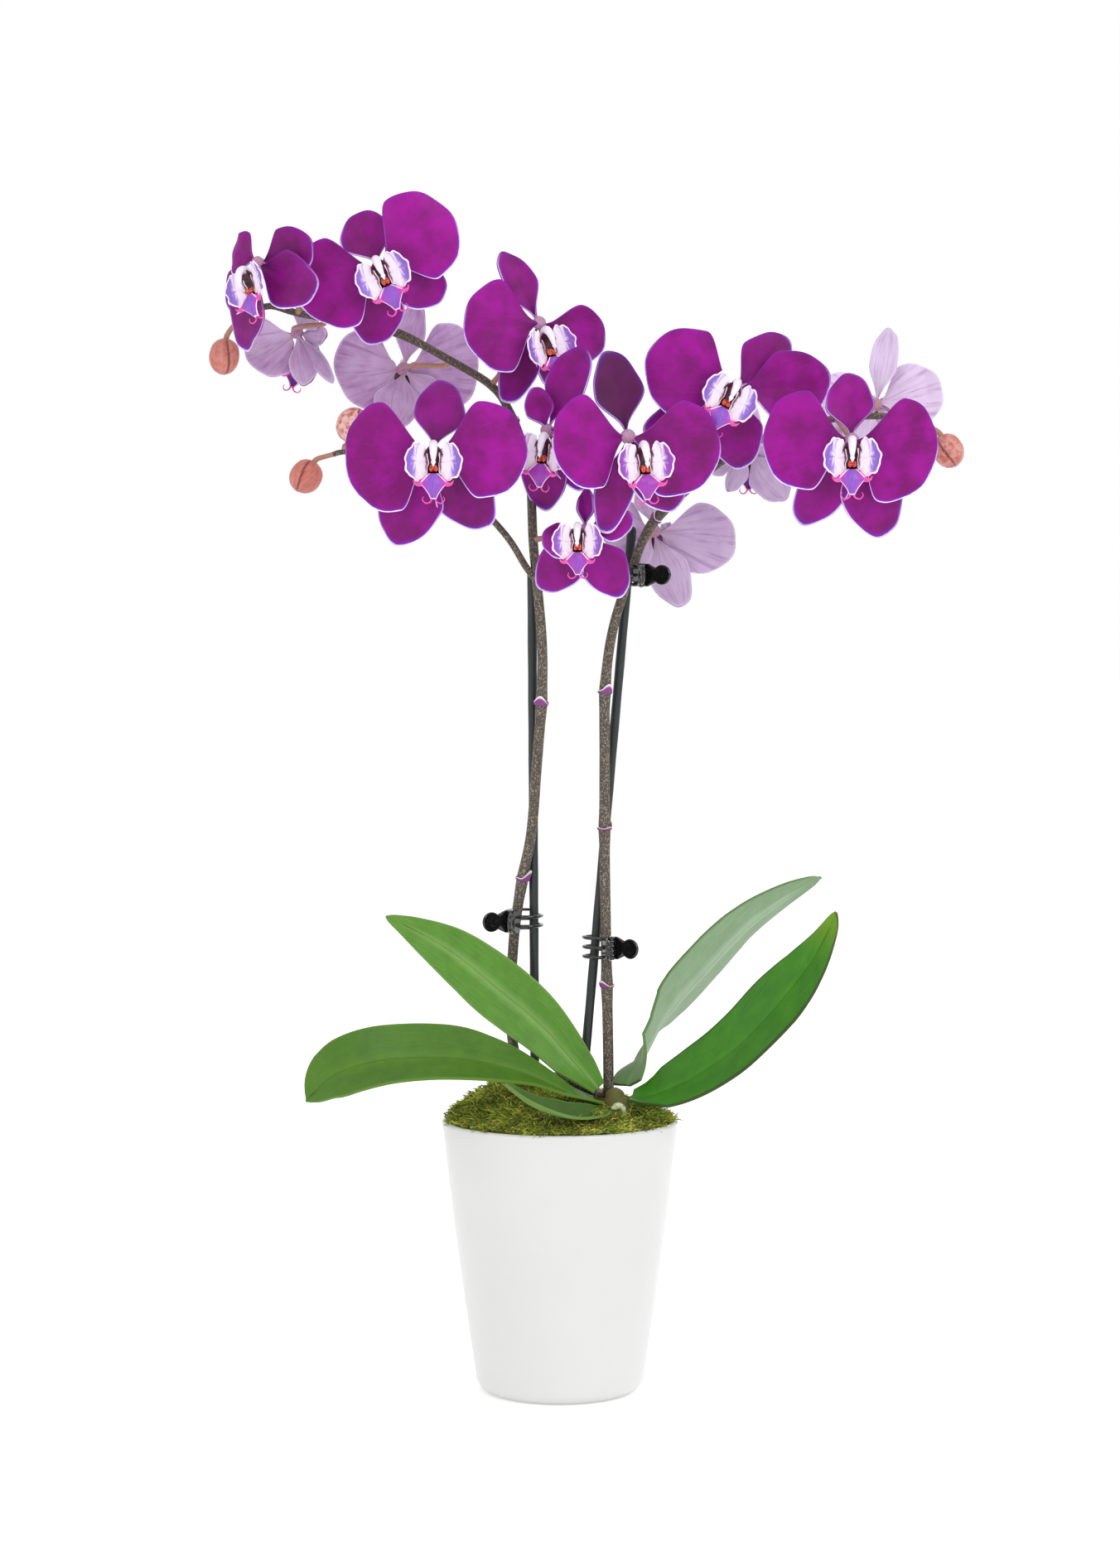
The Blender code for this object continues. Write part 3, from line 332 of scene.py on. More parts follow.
moss, spot, _ = start_finish("sheet_moss", {"Specular IOR Level": 0.15, "Sheen Weight": 0.15})
tone = painted(spot, "tone")
dry = painted(spot, "dry")
moss_green = blend(band(tone, 0.0, 0.55), shade(80, 94, 22), shade(154, 170, 50))
moss_green = blend(band(tone, 0.5, 1.0), moss_green, shade(220, 214, 100))
moss_patch = band(grain(spot, 14 * MM, 2), 0.42, 0.66)
moss_green = blend(moss_patch * 0.3, moss_green, shade(104, 96, 34))
feed(moss, blend(dry, moss_green, blend(tone, shade(66, 42, 20), shade(128, 92, 48))), 0.85 + 0.1 * tone,
     grain(spot, 0.8 * MM, 4), 0.4 * MM)

pad = round_grid("moss_pad", 84, MOSS_RADIUS, moss)
for point in pad.data.vertices:
    point.co.z = moss_height(point.co.x, point.co.y)
paint(pad.data, "tone", [0.18 + 0.35 * noisy(*point.co, 3 * MM) for point in pad.data.vertices])
paint(pad.data, "dry", [0.0] * len(pad.data.vertices))
edit_whole()
bpy.ops.mesh.region_to_loop()
bpy.ops.mesh.extrude_edges_move(TRANSFORM_OT_translate={"value": (0, 0, -9 * MM)})
bpy.ops.transform.resize(value=(0.98, 0.98, 0), center_override=(0, 0, 138 * MM))
bpy.ops.mesh.edge_face_add()
end_edit()
bpy.ops.object.shade_smooth_by_angle(angle=math.radians(60))
fix(pad, ["moss_mound"])

strand_luck = random.Random(41)
corners, faces, tone_values, dry_values = [], [], [], []
for _ in range(STRAND_COUNT):
    reach = STRAND_SPREAD * math.sqrt(strand_luck.random())
    turn = strand_luck.uniform(0, 2 * math.pi)
    foot = Vector((reach * math.cos(turn), reach * math.sin(turn), 0))
    foot.z = moss_height(foot.x, foot.y) - 0.6 * MM
    clump = noisy(foot.x, foot.y, 0.9, 7 * MM)
    heading = strand_luck.uniform(0, 2 * math.pi) + 3 * clump
    rise = math.radians(strand_luck.uniform(2, 58))
    lean = Vector((math.cos(heading) * math.cos(rise), math.sin(heading) * math.cos(rise), math.sin(rise)))
    length = strand_luck.uniform(2.8, 7.6) * MM
    if reach > 56 * MM:
        length *= 0.75
    thick = strand_luck.uniform(0.2, 0.42) * MM
    side = lean.cross(Vector((0, 0, 1))).normalized()
    over = side.cross(lean)
    curl = strand_luck.uniform(-0.5, 0.5)
    knee = foot + lean * length * 0.55 + side * length * curl * 0.25
    tip = foot + lean * length + side * length * curl - Vector((0, 0, 0.25 * length))
    first = len(corners)
    for centre, size in ((foot, thick * 0.8), (knee, thick)):
        for angle in (90, 210, 330):
            a = math.radians(angle)
            corners.append(centre + (side * math.cos(a) + over * math.sin(a)) * size)
    corners.append(tip)
    for k in range(3):
        m = (k + 1) % 3
        faces.append((first + k, first + m, first + 3 + m, first + 3 + k))
        faces.append((first + 3 + k, first + 3 + m, first + 6))
    faces.append((first + 2, first + 1, first))
    brightness = min(1.0, max(0.0, strand_luck.gauss(0.48 + 0.45 * clump, 0.24)))
    is_dry = 0.85 if strand_luck.random() < 0.06 + 0.12 * max(0, -clump) * 2 else 0.0
    tone_values += [brightness * 0.6] * 3 + [brightness] * 4
    dry_values += [is_dry] * 7
strand_mesh = bpy.data.meshes.new("moss_strands")
strand_mesh.from_pydata(corners, [], faces)
paint(strand_mesh, "tone", tone_values)
paint(strand_mesh, "dry", dry_values)
strand_mesh.materials.append(moss)
strands = bpy.data.objects.new("moss_strands", strand_mesh)
bpy.context.scene.collection.objects.link(strands)
select_nothing()
strands.select_set(True)
bpy.context.view_layer.objects.active = strands
edit_whole()
end_edit()
fix(strands, [])


# ---------------------------------------------------------------------------------------------
# The crown and its root: a short woody stem wrapped in the dry bases of old leaves, which every
# leaf and both spikes grow from, and a pale aerial root that noses out of the moss in front.
CROWN = Vector((30, -19, 150)) * MM


def smooth_path(points, spacing):
    """Points about one spacing apart on a smooth curve through the given ones."""
    path = []
    for index in range(len(points) - 1):
        start, end = points[index], points[index + 1]
        before = points[index - 1] if index else start * 2 - end
        after = points[index + 2] if index + 2 < len(points) else end * 2 - start
        steps = max(1, round((end - start).length / spacing))
        for step in range(steps):
            t = step / steps
            path.append(0.5 * (2 * start + (end - before) * t + (2 * before - 5 * start + 4 * end - after) * t ** 2
                               + (3 * start - before - 3 * end + after) * t ** 3))
    path.append(points[-1].copy())
    return path


def heading_at(path, index):
    return (path[min(index + 1, len(path) - 1)] - path[max(index - 1, 0)]).normalized()


WELD = 1e-6


def drawn_tube(name, path, radii, material, roundness=4):
    """A round stem: a curve through the path with a bevel of each point's radius, made a mesh."""
    select_nothing()
    bpy.ops.curve.primitive_bezier_curve_add(location=(0, 0, 0))
    tube = bpy.context.object
    tube.name = name
    curve = tube.data
    curve.splines.clear()
    spline = curve.splines.new("POLY")
    spline.points.add(len(path) - 1)
    for knot, point, radius in zip(spline.points, path, radii):
        knot.co = (*point, 1)
        knot.radius = radius
    curve.dimensions = "3D"
    curve.bevel_depth = 1.0
    curve.bevel_resolution = roundness
    curve.use_fill_caps = True
    bpy.ops.object.convert(target="MESH")
    tube = bpy.context.object
    tube.data.name = name
    edit_whole()
    bpy.ops.mesh.remove_doubles(threshold=WELD)
    end_edit()
    bpy.ops.object.shade_smooth_by_angle(angle=math.radians(50))
    tube.data.materials.clear()
    tube.data.materials.append(material)
    return tube


def joined(name, pieces):
    """Several pieces of one material body made one object."""
    select_nothing()
    for piece in pieces:
        piece.select_set(True)
    bpy.context.view_layer.objects.active = pieces[0]
    if len(pieces) > 1:
        bpy.ops.object.join()
    whole = bpy.context.object
    whole.name = whole.data.name = name
    return whole


sheath, spot, _ = start_finish("leaf_sheath", {"Specular IOR Level": 0.35})
fibre = grain(spot, 0.6 * MM, 4, (1, 1, 12))
sheath_colour = blend(band(grain(spot, 6 * MM), 0.4, 0.65), shade(96, 104, 48), shade(124, 98, 58))
feed(sheath, blend(fibre * 0.5, sheath_colour, shade(72, 58, 30)), 0.55 + 0.25 * fibre, fibre, 0.3 * MM)

crown_profile = [(5.2, -13), (6.6, -4), (7.3, 1), (7.6, 5), (7.0, 6), (7.4, 9.5), (6.4, 10.6), (6.7, 13.5),
                 (5.4, 14.6),
                 (5.3, 17), (3.6, 18.6), (1.2, 19.8)]
crown = turned("crown_sheaths", in_mm(crown_profile), 36, sheath, 70)
for point in crown.data.vertices:
    around = math.atan2(point.co.y, point.co.x)
    point.co.x *= 1 + 0.06 * math.sin(2 * around + point.co.z * 300)
    point.co.y *= 1 + 0.06 * math.sin(3 * around)
crown.data.transform(Matrix.Translation(CROWN))
fix(crown, ["crown"])

velamen, spot, _ = start_finish("root_skin", {"Specular IOR Level": 0.4})
root_spots = band(grain(spot, 1.6 * MM, 3), 0.45, 0.62)
feed(velamen, blend(root_spots, shade(196, 202, 170), shade(140, 158, 96)), 0.45 + 0.2 * root_spots, root_spots,
     0.1 * MM)
root_line = smooth_path([RIM * Vector((0, 0, 1)) + Vector(p) * MM for p in
                         ((34, -29, 5), (34, -31, 9.5), (32, -33, 12), (29, -35, 11), (28.2, -35.5, 10.2))], 0.7 * MM)
root_sizes = [1.7 * MM + 0.15 * MM * math.sin(k) for k in range(len(root_line))]
for k, share in ((1, 0.35), (2, 0.72), (3, 0.92)):
    root_sizes[-k] *= share
root = drawn_tube("pale_root", root_line, root_sizes, velamen)
fix(root, ["aerial_root"])


# ---------------------------------------------------------------------------------------------
# The leaves: five thick strap leaves on the crown, each folded along its midrib, glossy above and
# paler beneath, with a sharp or blunt tip. Each is one sheet along its midrib, walled and soft-edged.
def shaped_sheet(name, along, across, place, wall, soft, front, materials):
    """A thin closed sheet: a grid primitive whose points go where place(a, b) says, with a and b
    from -1 to 1, then given a wall and a softened edge. place also gives each point's position on
    the surface and the values painted there. The first material is on the side that faces front."""
    select_nothing()
    bpy.ops.mesh.primitive_grid_add(x_subdivisions=along, y_subdivisions=across, size=2, location=(0, 0, 0))
    sheet = bpy.context.object
    mesh = sheet.data
    sheet.name = mesh.name = name
    spots = [place(point.co.x, point.co.y) for point in mesh.vertices]
    surface = mesh.uv_layers.active.data
    for corner in mesh.loops:
        surface[corner.index].uv = spots[corner.vertex_index][1]
    for label in spots[0][2]:
        paint(mesh, label, [each[2][label] for each in spots])
    for point, each in zip(mesh.vertices, spots):
        point.co = each[0]
    mesh.update()
    facing = sum((face.normal * face.area for face in mesh.polygons), Vector())
    edit_whole()
    if facing.dot(front) < 0:
        bpy.ops.mesh.flip_normals()
    bpy.ops.mesh.remove_doubles(threshold=2 * WELD)
    bpy.ops.object.mode_set(mode="OBJECT")
    for material in materials:
        mesh.materials.append(material)
    shell = sheet.modifiers.new("wall", "SOLIDIFY")
    shell.thickness, shell.offset = wall, 0
    shell.material_offset, shell.material_offset_rim = 1, 2
    bpy.ops.object.modifier_apply(modifier="wall")
    if soft:
        easing = sheet.modifiers.new("soft edge", "BEVEL")
        easing.width, easing.segments = soft, 2
        easing.limit_method, easing.angle_limit = "ANGLE", math.radians(55)
        bpy.ops.object.modifier_apply(modifier="soft edge")
    bpy.ops.object.shade_smooth()
    return sheet


def leaf_finish(name, colours, stripe_and_highlight_width, stripe_and_highlight_share, gloss):
    """Leaf skin: lengthwise veins, a pale midrib stripe that is partly painted highlight, mottling, pores, a darker
    midrib line of painted shade, and a worn edge and tip.
    """
    skin, spot, surface = start_finish(name, {"Coat Weight": 0.10 * gloss, "Coat Roughness": 0.25,
                                              "Specular IOR Level": 0.28, "Subsurface Weight": 0.05,
                                              "Subsurface Radius": (0.002, 0.004, 0.001)})
    body, deep, stripe, edge, tip = [shade(*colour) for colour in colours]
    across = painted(spot, "across")
    along = painted(spot, "along")
    veins = grain(surface, 0.012, 3, (1, 40, 1))
    mottle = grain(spot, 9 * MM, 3, (1, 1, 1.6))
    pores = band(grain(spot, 0.7 * MM, 2), 0.63, 0.72)
    middle = band(across, stripe_and_highlight_width, 0.0)
    colour = blend(0.3 + 0.6 * band(mottle, 0.2, 0.8), deep, body)
    colour = blend(band(veins, 0.35, 0.7) * 0.22, colour, stripe)
    # The pale stripe down the middle is partly the leaf's own paler midrib and partly a painted highlight along the
    # midrib's channel.
    colour = blend(middle * stripe_and_highlight_share * (0.6 + 0.6 * mottle), colour, stripe)
    # A thin darker line right on the midrib is painted shade in its groove.
    colour = blend(band(across, 0.045, 0.0) * 0.35, colour, deep)
    colour = blend(pores * 0.18, colour, shade(30, 60, 10))
    colour = blend(band(along, 0.80, 1.0) * 0.75, colour, tip)
    colour = blend(band(across, 0.93, 1.0) * 0.8, colour, edge)
    feed(skin, colour, (0.52 - 0.2 * gloss) + 0.12 * mottle + 0.1 * veins,
         0.35 * veins + 0.25 * grain(spot, 1.1 * MM, 3) + 0.6 * mottle - 0.7 * band(across, 0.05, 0.0), 0.35 * MM)
    return skin


# Each leaf: its midrib from the crown's axis at the rim, half width, turn about the midrib at its
# foot and tip, fold, width profile, ripple at the margin, and its colours above and below.
LEAVES = {
    "leaf_1": ([(-10, -6, 12), (-26, -16, 19), (-46, -20, 29), (-70, -21, 36), (-95, -21, 39), (-128, -21, 37),
                (-152, -20, 29), (-167, -18, 15)], 20, (-22, -58), 0.25,
               ((0, 0.3), (0.16, 0.42), (0.31, 0.74), (0.47, 0.93), (0.78, 1), (0.9, 0.86), (1, 0.16)), 0.8,
               (((72, 119, 23), (51, 94, 13), (102, 142, 47), (90, 126, 33), (75, 119, 25)), 0.35, 0.3, 0.9),
               (((116, 150, 71), (95, 131, 51), (142, 169, 95), (76, 99, 36), (109, 142, 62)), 0.25, 0.5, 0.3)),
    "leaf_2": ([(-5, -11, 7.5), (-14, -24, 7.5), (-28, -36, 9.5), (-45, -44, 17), (-60, -47, 29)], 8, (-25, -25),
               0.55,
               ((0, 0.5), (0.25, 0.95), (0.5, 1), (0.8, 0.6), (1, 0.12)), 0.3,
               (((65, 101, 28), (48, 79, 18), (95, 126, 53), (102, 135, 59), (78, 113, 35)), 0.3, 0.3, 0.6),
               (((115, 144, 78), (91, 122, 54), (139, 163, 100), (78, 99, 39), (111, 142, 68)), 0.25, 0.5, 0.3)),
    "leaf_3": ([(-10, -1, 19), (-22, 0, 33), (-41, 3, 54), (-64, 7, 73), (-87, 13, 91), (-108, 20, 103),
                (-126, 28, 111)], 17, (-75, -75), 0.22,
               ((0, 0.4), (0.15, 0.66), (0.35, 0.95), (0.5, 1), (0.7, 0.82), (0.86, 0.48), (1, 0.08)), 0.6,
               (((86, 140, 39), (65, 115, 27), (130, 167, 90), (106, 145, 64), (97, 141, 49)), 0.34, 0.75, 0.6),
               (((117, 152, 82), (94, 133, 61), (150, 178, 117), (88, 116, 51), (113, 145, 68)), 0.25, 0.5, 0.3)),
    "leaf_4": ([(8, 8, 20), (17, 20, 36), (30, 33, 57), (51, 43, 80), (74, 51, 103), (95, 58, 118),
                (117, 66, 130)], 21.5, (-52, -52), 0.22,
               ((0, 0.55), (0.12, 0.92), (0.3, 1), (0.5, 0.9), (0.68, 0.76), (0.87, 0.45), (1, 0.08)), 0.6,
               (((91, 135, 63), (68, 110, 44), (142, 169, 124), (91, 124, 66), (99, 135, 72)), 0.3, 0.5, 0.6),
               (((129, 156, 121), (107, 138, 98), (168, 187, 162), (101, 131, 90), (117, 146, 103)), 0.34, 0.7,
                0.45)),
    "leaf_5": ([(9, -4, 14), (22, -8, 17), (42, -14, 27), (64, -20, 43), (84, -24, 64), (102, -26, 87),
                (112, -27, 104), (118, -26, 118)], 19.5, (42, 60), 0.22,
               ((0, 0.45), (0.12, 0.7), (0.24, 0.9), (0.4, 1), (0.62, 0.94), (0.78, 0.66), (0.92, 0.3), (1, 0.08)),
               0.7,
               (((57, 127, 10), (33, 93, 5), (76, 143, 20), (41, 43, 7), (109, 146, 23)), 0.25, 0.25, 1.0),
               (((84, 138, 38), (63, 113, 23), (113, 158, 62), (58, 58, 18), (130, 149, 51)), 0.25, 0.4, 0.4)),
}


def width_at(profile, share):
    """A width at a share of the length, eased between the two nearest of its profile."""
    total = 0
    for shift in (-0.05, -0.025, 0, 0.025, 0.05):
        spot = min(1, max(0, share + shift * min(1, share * 20, (1 - share) * 20)))
        for (low, before), (high, after) in zip(profile, profile[1:]):
            if low <= spot <= high:
                total += before + (after - before) * (spot - low) / (high - low)
                break
    return total / 5


LEAF_WALL, LEAF_SOFTNESS = 1.6 * MM, 0.45 * MM
for leaf_name, (midrib, half, twist, fold, profile, ripple, above, below) in LEAVES.items():
    path = smooth_path([Vector(point) * MM for point in midrib], 2 * MM)
    half *= MM
    last = len(path) - 1

    def leaf_place(a, b):
        share = (a + 1) / 2
        spot_on = share * last
        index = min(int(spot_on), last - 1)
        point = path[index].lerp(path[index + 1], spot_on - index)
        tangent = heading_at(path, round(spot_on))
        level = tangent.cross(Vector((0, 0, 1))).normalized()
        turn = math.radians(twist[0] + (twist[1] - twist[0]) * share) * min(1, 0.3 + share * 5)
        sideways = Matrix.Rotation(turn, 3, tangent) @ level
        up = sideways.cross(tangent)
        width = half * width_at(profile, share)
        if share > 0.96:
            width *= math.sqrt(max(0.0, 1 - ((share - 0.96) / 0.04) ** 2))
        wave = ripple * MM * abs(b) ** 2 * math.sin(share * 11 + 2 * (b > 0))
        valley = -0.5 * MM * math.exp(-(b * 9) ** 2)
        place = point + sideways * width * b + up * (width * fold * abs(b) ** 1.3 + wave + valley)
        values = {"across": abs(b), "along": share}
        return CROWN + place, (0.5 + 0.5 * b * width / half, share * 5), values

    skins = [leaf_finish(f"{leaf_name}_upper", *above), leaf_finish(f"{leaf_name}_under", *below)]
    middle_heading = heading_at(path, last // 2)
    level = middle_heading.cross(Vector((0, 0, 1))).normalized()
    facing_up = (Matrix.Rotation(math.radians(sum(twist) / 2), 3, middle_heading) @ level).cross(middle_heading)
    blade = shaped_sheet(f"{leaf_name}_blade", 72, 22, leaf_place, LEAF_WALL, LEAF_SOFTNESS, facing_up,
                         skins + [skins[0]])
    fix(blade, [leaf_name])


# ---------------------------------------------------------------------------------------------
# The spikes: two flower stems out of the crown and a side branch, dark and finely freckled, each
# swollen at its joints under a small papery bract. Each is drawn as one stem that thins upwards.
def above_rim(points):
    return [Vector((x, y, z + 150)) * MM for x, y, z in points]


SPIKE_LEFT = [(21.5, -13, 13.5), (19.3, -7, 15.5), (13, 0.5, 18.5), (0, 6, 21.5), (-14, 8, 24), (-24.5, 10.5, 33),
              (-27.5, 11, 62), (-26, 8.5, 92), (-24, 7, 112), (-20, 1.5, 136), (-15.6, -3, 159),
              (-12.8, -6.5, 194), (-10, -11, 232), (-9.8, -13, 262), (-12.6, -16, 296), (-14.6, -15, 318),
              (-15.8, -8, 346), (-18, -5, 362), (-28, 0, 389), (-38, 3, 403), (-61, 4, 417), (-88, 3, 431),
              (-113, 3, 437), (-143, 2, 442), (-158, 3, 446), (-169, 6, 443), (-177, 8, 437)]
SPIKE_RIGHT = [(27, -8, -9), (26.7, -8.6, 10), (26.3, -10.5, 44), (25.2, -11, 98), (24.4, -10, 148),
               (24.4, -8.8, 200), (24.7, -7.6, 238), (29, -6, 270), (38.9, -6, 301), (49.5, -10, 326),
               (69, -14, 345), (90, -16, 362), (118, -16, 376), (150, -16, 383.5), (180, -16, 384.5),
               (197, -16, 380)]
BRANCH = [(-13.2, -16.2, 296.5), (-18.4, -17.8, 303.2), (-29, -18, 320), (-48, -9, 340), (-66, -2, 351),
          (-89, 0, 359), (-108, 0, 364.5),
          (-118, 0, 366.5), (-124, 0, 365)]

bark_skin, spot, _ = start_finish("stem_skin", {"Specular IOR Level": 0.35})
height = spot.node("ShaderNodeSeparateXYZ", {"Vector": spot}, output="Z")
freckle = band(grain(spot, 0.75 * MM, 2, (1, 1, 1.5)), 0.50, 0.62)
streak = grain(spot, 1.4 * MM, 3, (1, 1, 9))
stem_colour = blend(streak, shade(58, 51, 44), shade(90, 81, 70))
stem_colour = blend(freckle * 0.7, stem_colour, shade(158, 146, 132))
upper_stem = band(height, 430 * MM, 520 * MM)
stem_colour = blend(upper_stem * 0.35, stem_colour, shade(70, 52, 40))
feed(bark_skin, stem_colour, 0.45 + 0.2 * streak, 0.5 * freckle + 0.5 * streak, 0.18 * MM)

bract_skin, spot, _ = start_finish("bract_paper", {"Specular IOR Level": 0.3})
bract_rim = band(painted(spot, "edge"), 0.62, 0.9)
bract_fibre = grain(spot, 0.5 * MM, 3, (1, 1, 8))
bract_colour = blend(bract_fibre, shade(110, 40, 112), shade(150, 76, 150))
feed(bract_skin, blend(bract_rim, bract_colour, shade(228, 218, 220)), 0.6 + 0.1 * bract_fibre, bract_fibre, 0.1 * MM)


STEM, STEM_THINNING, JOINT_SWELL, JOINT_LENGTH = 2.9 * MM, 1.2 * MM, 0.5 * MM, 7 * MM


def stem_sizes(path, nodes):
    """A stem's radius at each point: thinner after the middle, and swollen at its joints."""
    sizes = []
    for index, point in enumerate(path):
        share = index / (len(path) - 1)
        size = STEM - STEM_THINNING * max(0, share - 0.45) / 0.55
        for node in nodes:
            size += JOINT_SWELL * math.exp(-((point.z - RIM - node * MM) / JOINT_LENGTH) ** 2)
        sizes.append(size)
    return sizes


def bract(stem, path, sizes, node, facing, tall):
    """A papery bract that clasps the stem at a joint: a ring drawn up into a pointed collar."""
    index = min(range(len(path)), key=lambda k: abs(path[k].z - RIM - node * MM))
    select_nothing()
    bpy.ops.mesh.primitive_circle_add(vertices=28, radius=sizes[index] + 0.15 * MM, fill_type="NOTHING",
                                      location=(0, 0, 0))
    collar = bpy.context.object
    collar.name = f"{stem}_bract_{node}"
    edit_whole()
    for step in range(4):
        bpy.ops.mesh.extrude_edges_move(TRANSFORM_OT_translate={"value": (0, 0, 1 * MM)})
    bpy.ops.object.mode_set(mode="OBJECT")
    paint(collar.data, "edge", [point.co.z / (4 * MM) for point in collar.data.vertices])
    for point in collar.data.vertices:
        share = point.co.z / (4 * MM)
        around = math.atan2(point.co.y, point.co.x)
        lobe = max(0, math.cos(around)) ** 3
        point.co.z = share * (1.2 + tall * lobe + 0.5 * math.sin(3 * around)) * MM
        point.co.xy *= 1 + share * 0.10 + 0.12 * share * lobe
    shell = collar.modifiers.new("wall", "SOLIDIFY")
    shell.thickness, shell.offset = 0.35 * MM, 1
    bpy.ops.object.modifier_apply(modifier="wall")
    bpy.ops.object.shade_smooth_by_angle(angle=math.radians(50))
    collar.data.materials.append(bract_skin)
    tangent = heading_at(path, index)
    lean = tangent.to_track_quat("Z", "Y").to_matrix().to_4x4()
    collar.data.transform(Matrix.Translation(path[index]) @ lean @ Matrix.Rotation(math.radians(facing), 4, "Z"))
    return collar


def make_spike(name, points, nodes, cad_node):
    path = smooth_path(above_rim(points), 4 * MM)
    sizes = stem_sizes(path, nodes)
    pieces = [drawn_tube(name, path, sizes, bark_skin, 5)]
    for index, (node, tall) in enumerate(nodes.items()):
        pieces.append(bract(name, path, sizes, node, -75 - 60 * index, tall))
    fix(joined(name, pieces), [cad_node])
    coarse = smooth_path(above_rim(points), 17 * MM)
    return coarse, stem_sizes(coarse, nodes)


stems = {
    "left": make_spike("flower_spike_left", SPIKE_LEFT, {131: 5.5, 229: 4, 382: 3, 433: 3}, "spike_left"),
    "right": make_spike("flower_spike_right", SPIKE_RIGHT, {75: 2.5, 161: 4.5, 236: 4, 330: 3}, "spike_right"),
}
branch_line = smooth_path(above_rim(BRANCH), 4 * MM)
branch_sizes = [1.95 * MM - 0.5 * MM * index / len(branch_line) for index in range(len(branch_line))]
fix(drawn_tube("side_branch", branch_line, branch_sizes, bark_skin), ["spike_left_branch"])
coarse_branch = smooth_path(above_rim(BRANCH), 17 * MM)
stems["branch"] = (coarse_branch, [1.9 * MM] * len(coarse_branch))


# ---------------------------------------------------------------------------------------------
# The stakes: two straight rods with a dark plastic coat, pushed down through the moss beside the
# spikes. Each is turned with a domed top and then stood at its lean.
coat, spot, _ = start_finish("stake_plastic", {"Specular IOR Level": 0.4})
scuff = band(grain(spot, 3 * MM, 4, (1, 1, 14)), 0.55, 0.75)
coat_colour = blend(grain(spot, 20 * MM), shade(30, 36, 37), shade(46, 52, 52))
feed(coat, blend(scuff * 0.35, coat_colour, shade(84, 90, 88)), 0.38 + 0.25 * scuff,
     grain(spot, 1.5 * MM, 3, (1, 1, 20)), 0.12 * MM)

STAKES = {
    "stake_left": (Vector((-14.2, 12, 72)), Vector((-15.3, -9.7, 302))),
    "stake_right": (Vector((12.9, -8.5, 24)), Vector((39.5, 3, 326))),
}
for stake_name, (low, high) in STAKES.items():
    foot = low + (high - low) * (-95 - low.z) / (high.z - low.z)
    length = (high - foot).length
    profile = [(0.6, 0), (2.2, 2.6), (2.6, 6)]
    profile += [(2.6 - (0.12 if step % 2 else 0), 6 + (length - 14) * step / 24) for step in range(1, 25)]
    profile += [(2.6, length - 2.6), (2.3, length - 1.3), (1.6, length - 0.4), (0.5, length)]
    rod = turned(f"{stake_name}_rod", in_mm(profile), 20, coat, 60)
    lean = (high - foot).to_track_quat("Z", "Y").to_matrix().to_4x4()
    rod.data.transform(Matrix.Translation((foot + Vector((0, 0, 150))) * MM) @ lean)
    fix(rod, [stake_name])


# ---------------------------------------------------------------------------------------------
# The flowers: five waxy tepals round each hub, magenta in front with a fine white and violet
# margin, lavender and veined behind. Each tepal is one sheet, joined to a pedicel that it grows on.
def petal_colours(spot, surface):
    """What both sides of a tepal share: veins that fan from the claw, cloudiness and the margin."""
    veins = grain(surface, 0.030, 3, (1, 22, 1))
    fine = grain(surface, 0.010, 2, (1, 30, 1))
    cloud = grain(spot, 16 * MM, 3)
    return veins, fine, cloud, painted(spot, "margin"), painted(spot, "tone"), painted(spot, "along")


petal_front, spot, surface = start_finish("petal_face", {"Specular IOR Level": 0.22, "Sheen Weight": 0.03,
                                                         "Sheen Roughness": 0.4, "Subsurface Weight": 0.08,
                                                         "Subsurface Radius": (0.002, 0.0006, 0.002)})
veins, fine, cloud, margin, tone, along = petal_colours(spot, surface)
front_colour = blend(band(cloud, 0.3, 0.7), shade(116, 1, 100), shade(150, 1, 140))
# Darker towards the claw: partly the tepal's own deeper colour and partly painted shade near the hub.
front_colour = blend(band(along, 0.42, 0.05) * 0.65, front_colour, shade(92, 2, 84))
front_colour = blend(band(veins, 0.52, 0.72) * 0.30, front_colour, shade(104, 2, 100))
front_colour = blend(band(fine, 0.55, 0.75) * 0.20, front_colour, shade(184, 18, 168))
front_colour = blend(band(tone, 0.5, 0.0) * 0.85, front_colour, shade(66, 8, 58))
front_colour = blend(band(tone, 0.5, 1.0) * 0.35, front_colour, shade(190, 14, 182))
# The white and violet margin is the tepal's own colour, but it is painted stronger on edges that face down, as
# painted light.
painted_light_edge = painted(spot, "light")
front_colour = blend(band(margin + 1.6 * (fine - 0.5), 2.4, 0.3) * (0.15 + 0.55 * painted_light_edge), front_colour,
                     shade(112, 40, 206))
front_colour = blend(band(margin + 0.9 * (veins - 0.5), 0.8, 0.3) * painted_light_edge, front_colour, shade(238, 226, 246))
feed(petal_front, front_colour, 0.42 + 0.14 * cloud, 0.5 * veins + 0.25 * fine + 0.3 * grain(spot, 0.5 * MM, 2),
     0.25 * MM)

petal_back, spot, surface = start_finish("petal_reverse", {"Specular IOR Level": 0.28, "Sheen Weight": 0.12,
                                                           "Subsurface Weight": 0.08,
                                                           "Subsurface Radius": (0.002, 0.001, 0.002)})
veins, fine, cloud, margin, tone, along = petal_colours(spot, surface)
pale = painted(spot, "pale")
back_colour = blend(band(cloud, 0.3, 0.7), shade(172, 122, 178), shade(200, 164, 208))
back_colour = blend(pale * (0.75 + 0.3 * cloud), back_colour, shade(224, 208, 234))
back_colour = blend(band(veins, 0.46, 0.68) * 0.42, back_colour, shade(122, 48, 132))
back_colour = blend(band(fine, 0.5, 0.7) * 0.25, back_colour, shade(226, 208, 232))
back_colour = blend(band(along, 0.30, 0.02) * 0.45, back_colour, shade(206, 176, 186))
back_colour = blend(band(margin, 1.4, 0.3) * 0.55, back_colour, shade(224, 206, 236))
feed(petal_back, back_colour, 0.48 + 0.12 * cloud, 0.7 * veins + 0.3 * fine, 0.35 * MM)

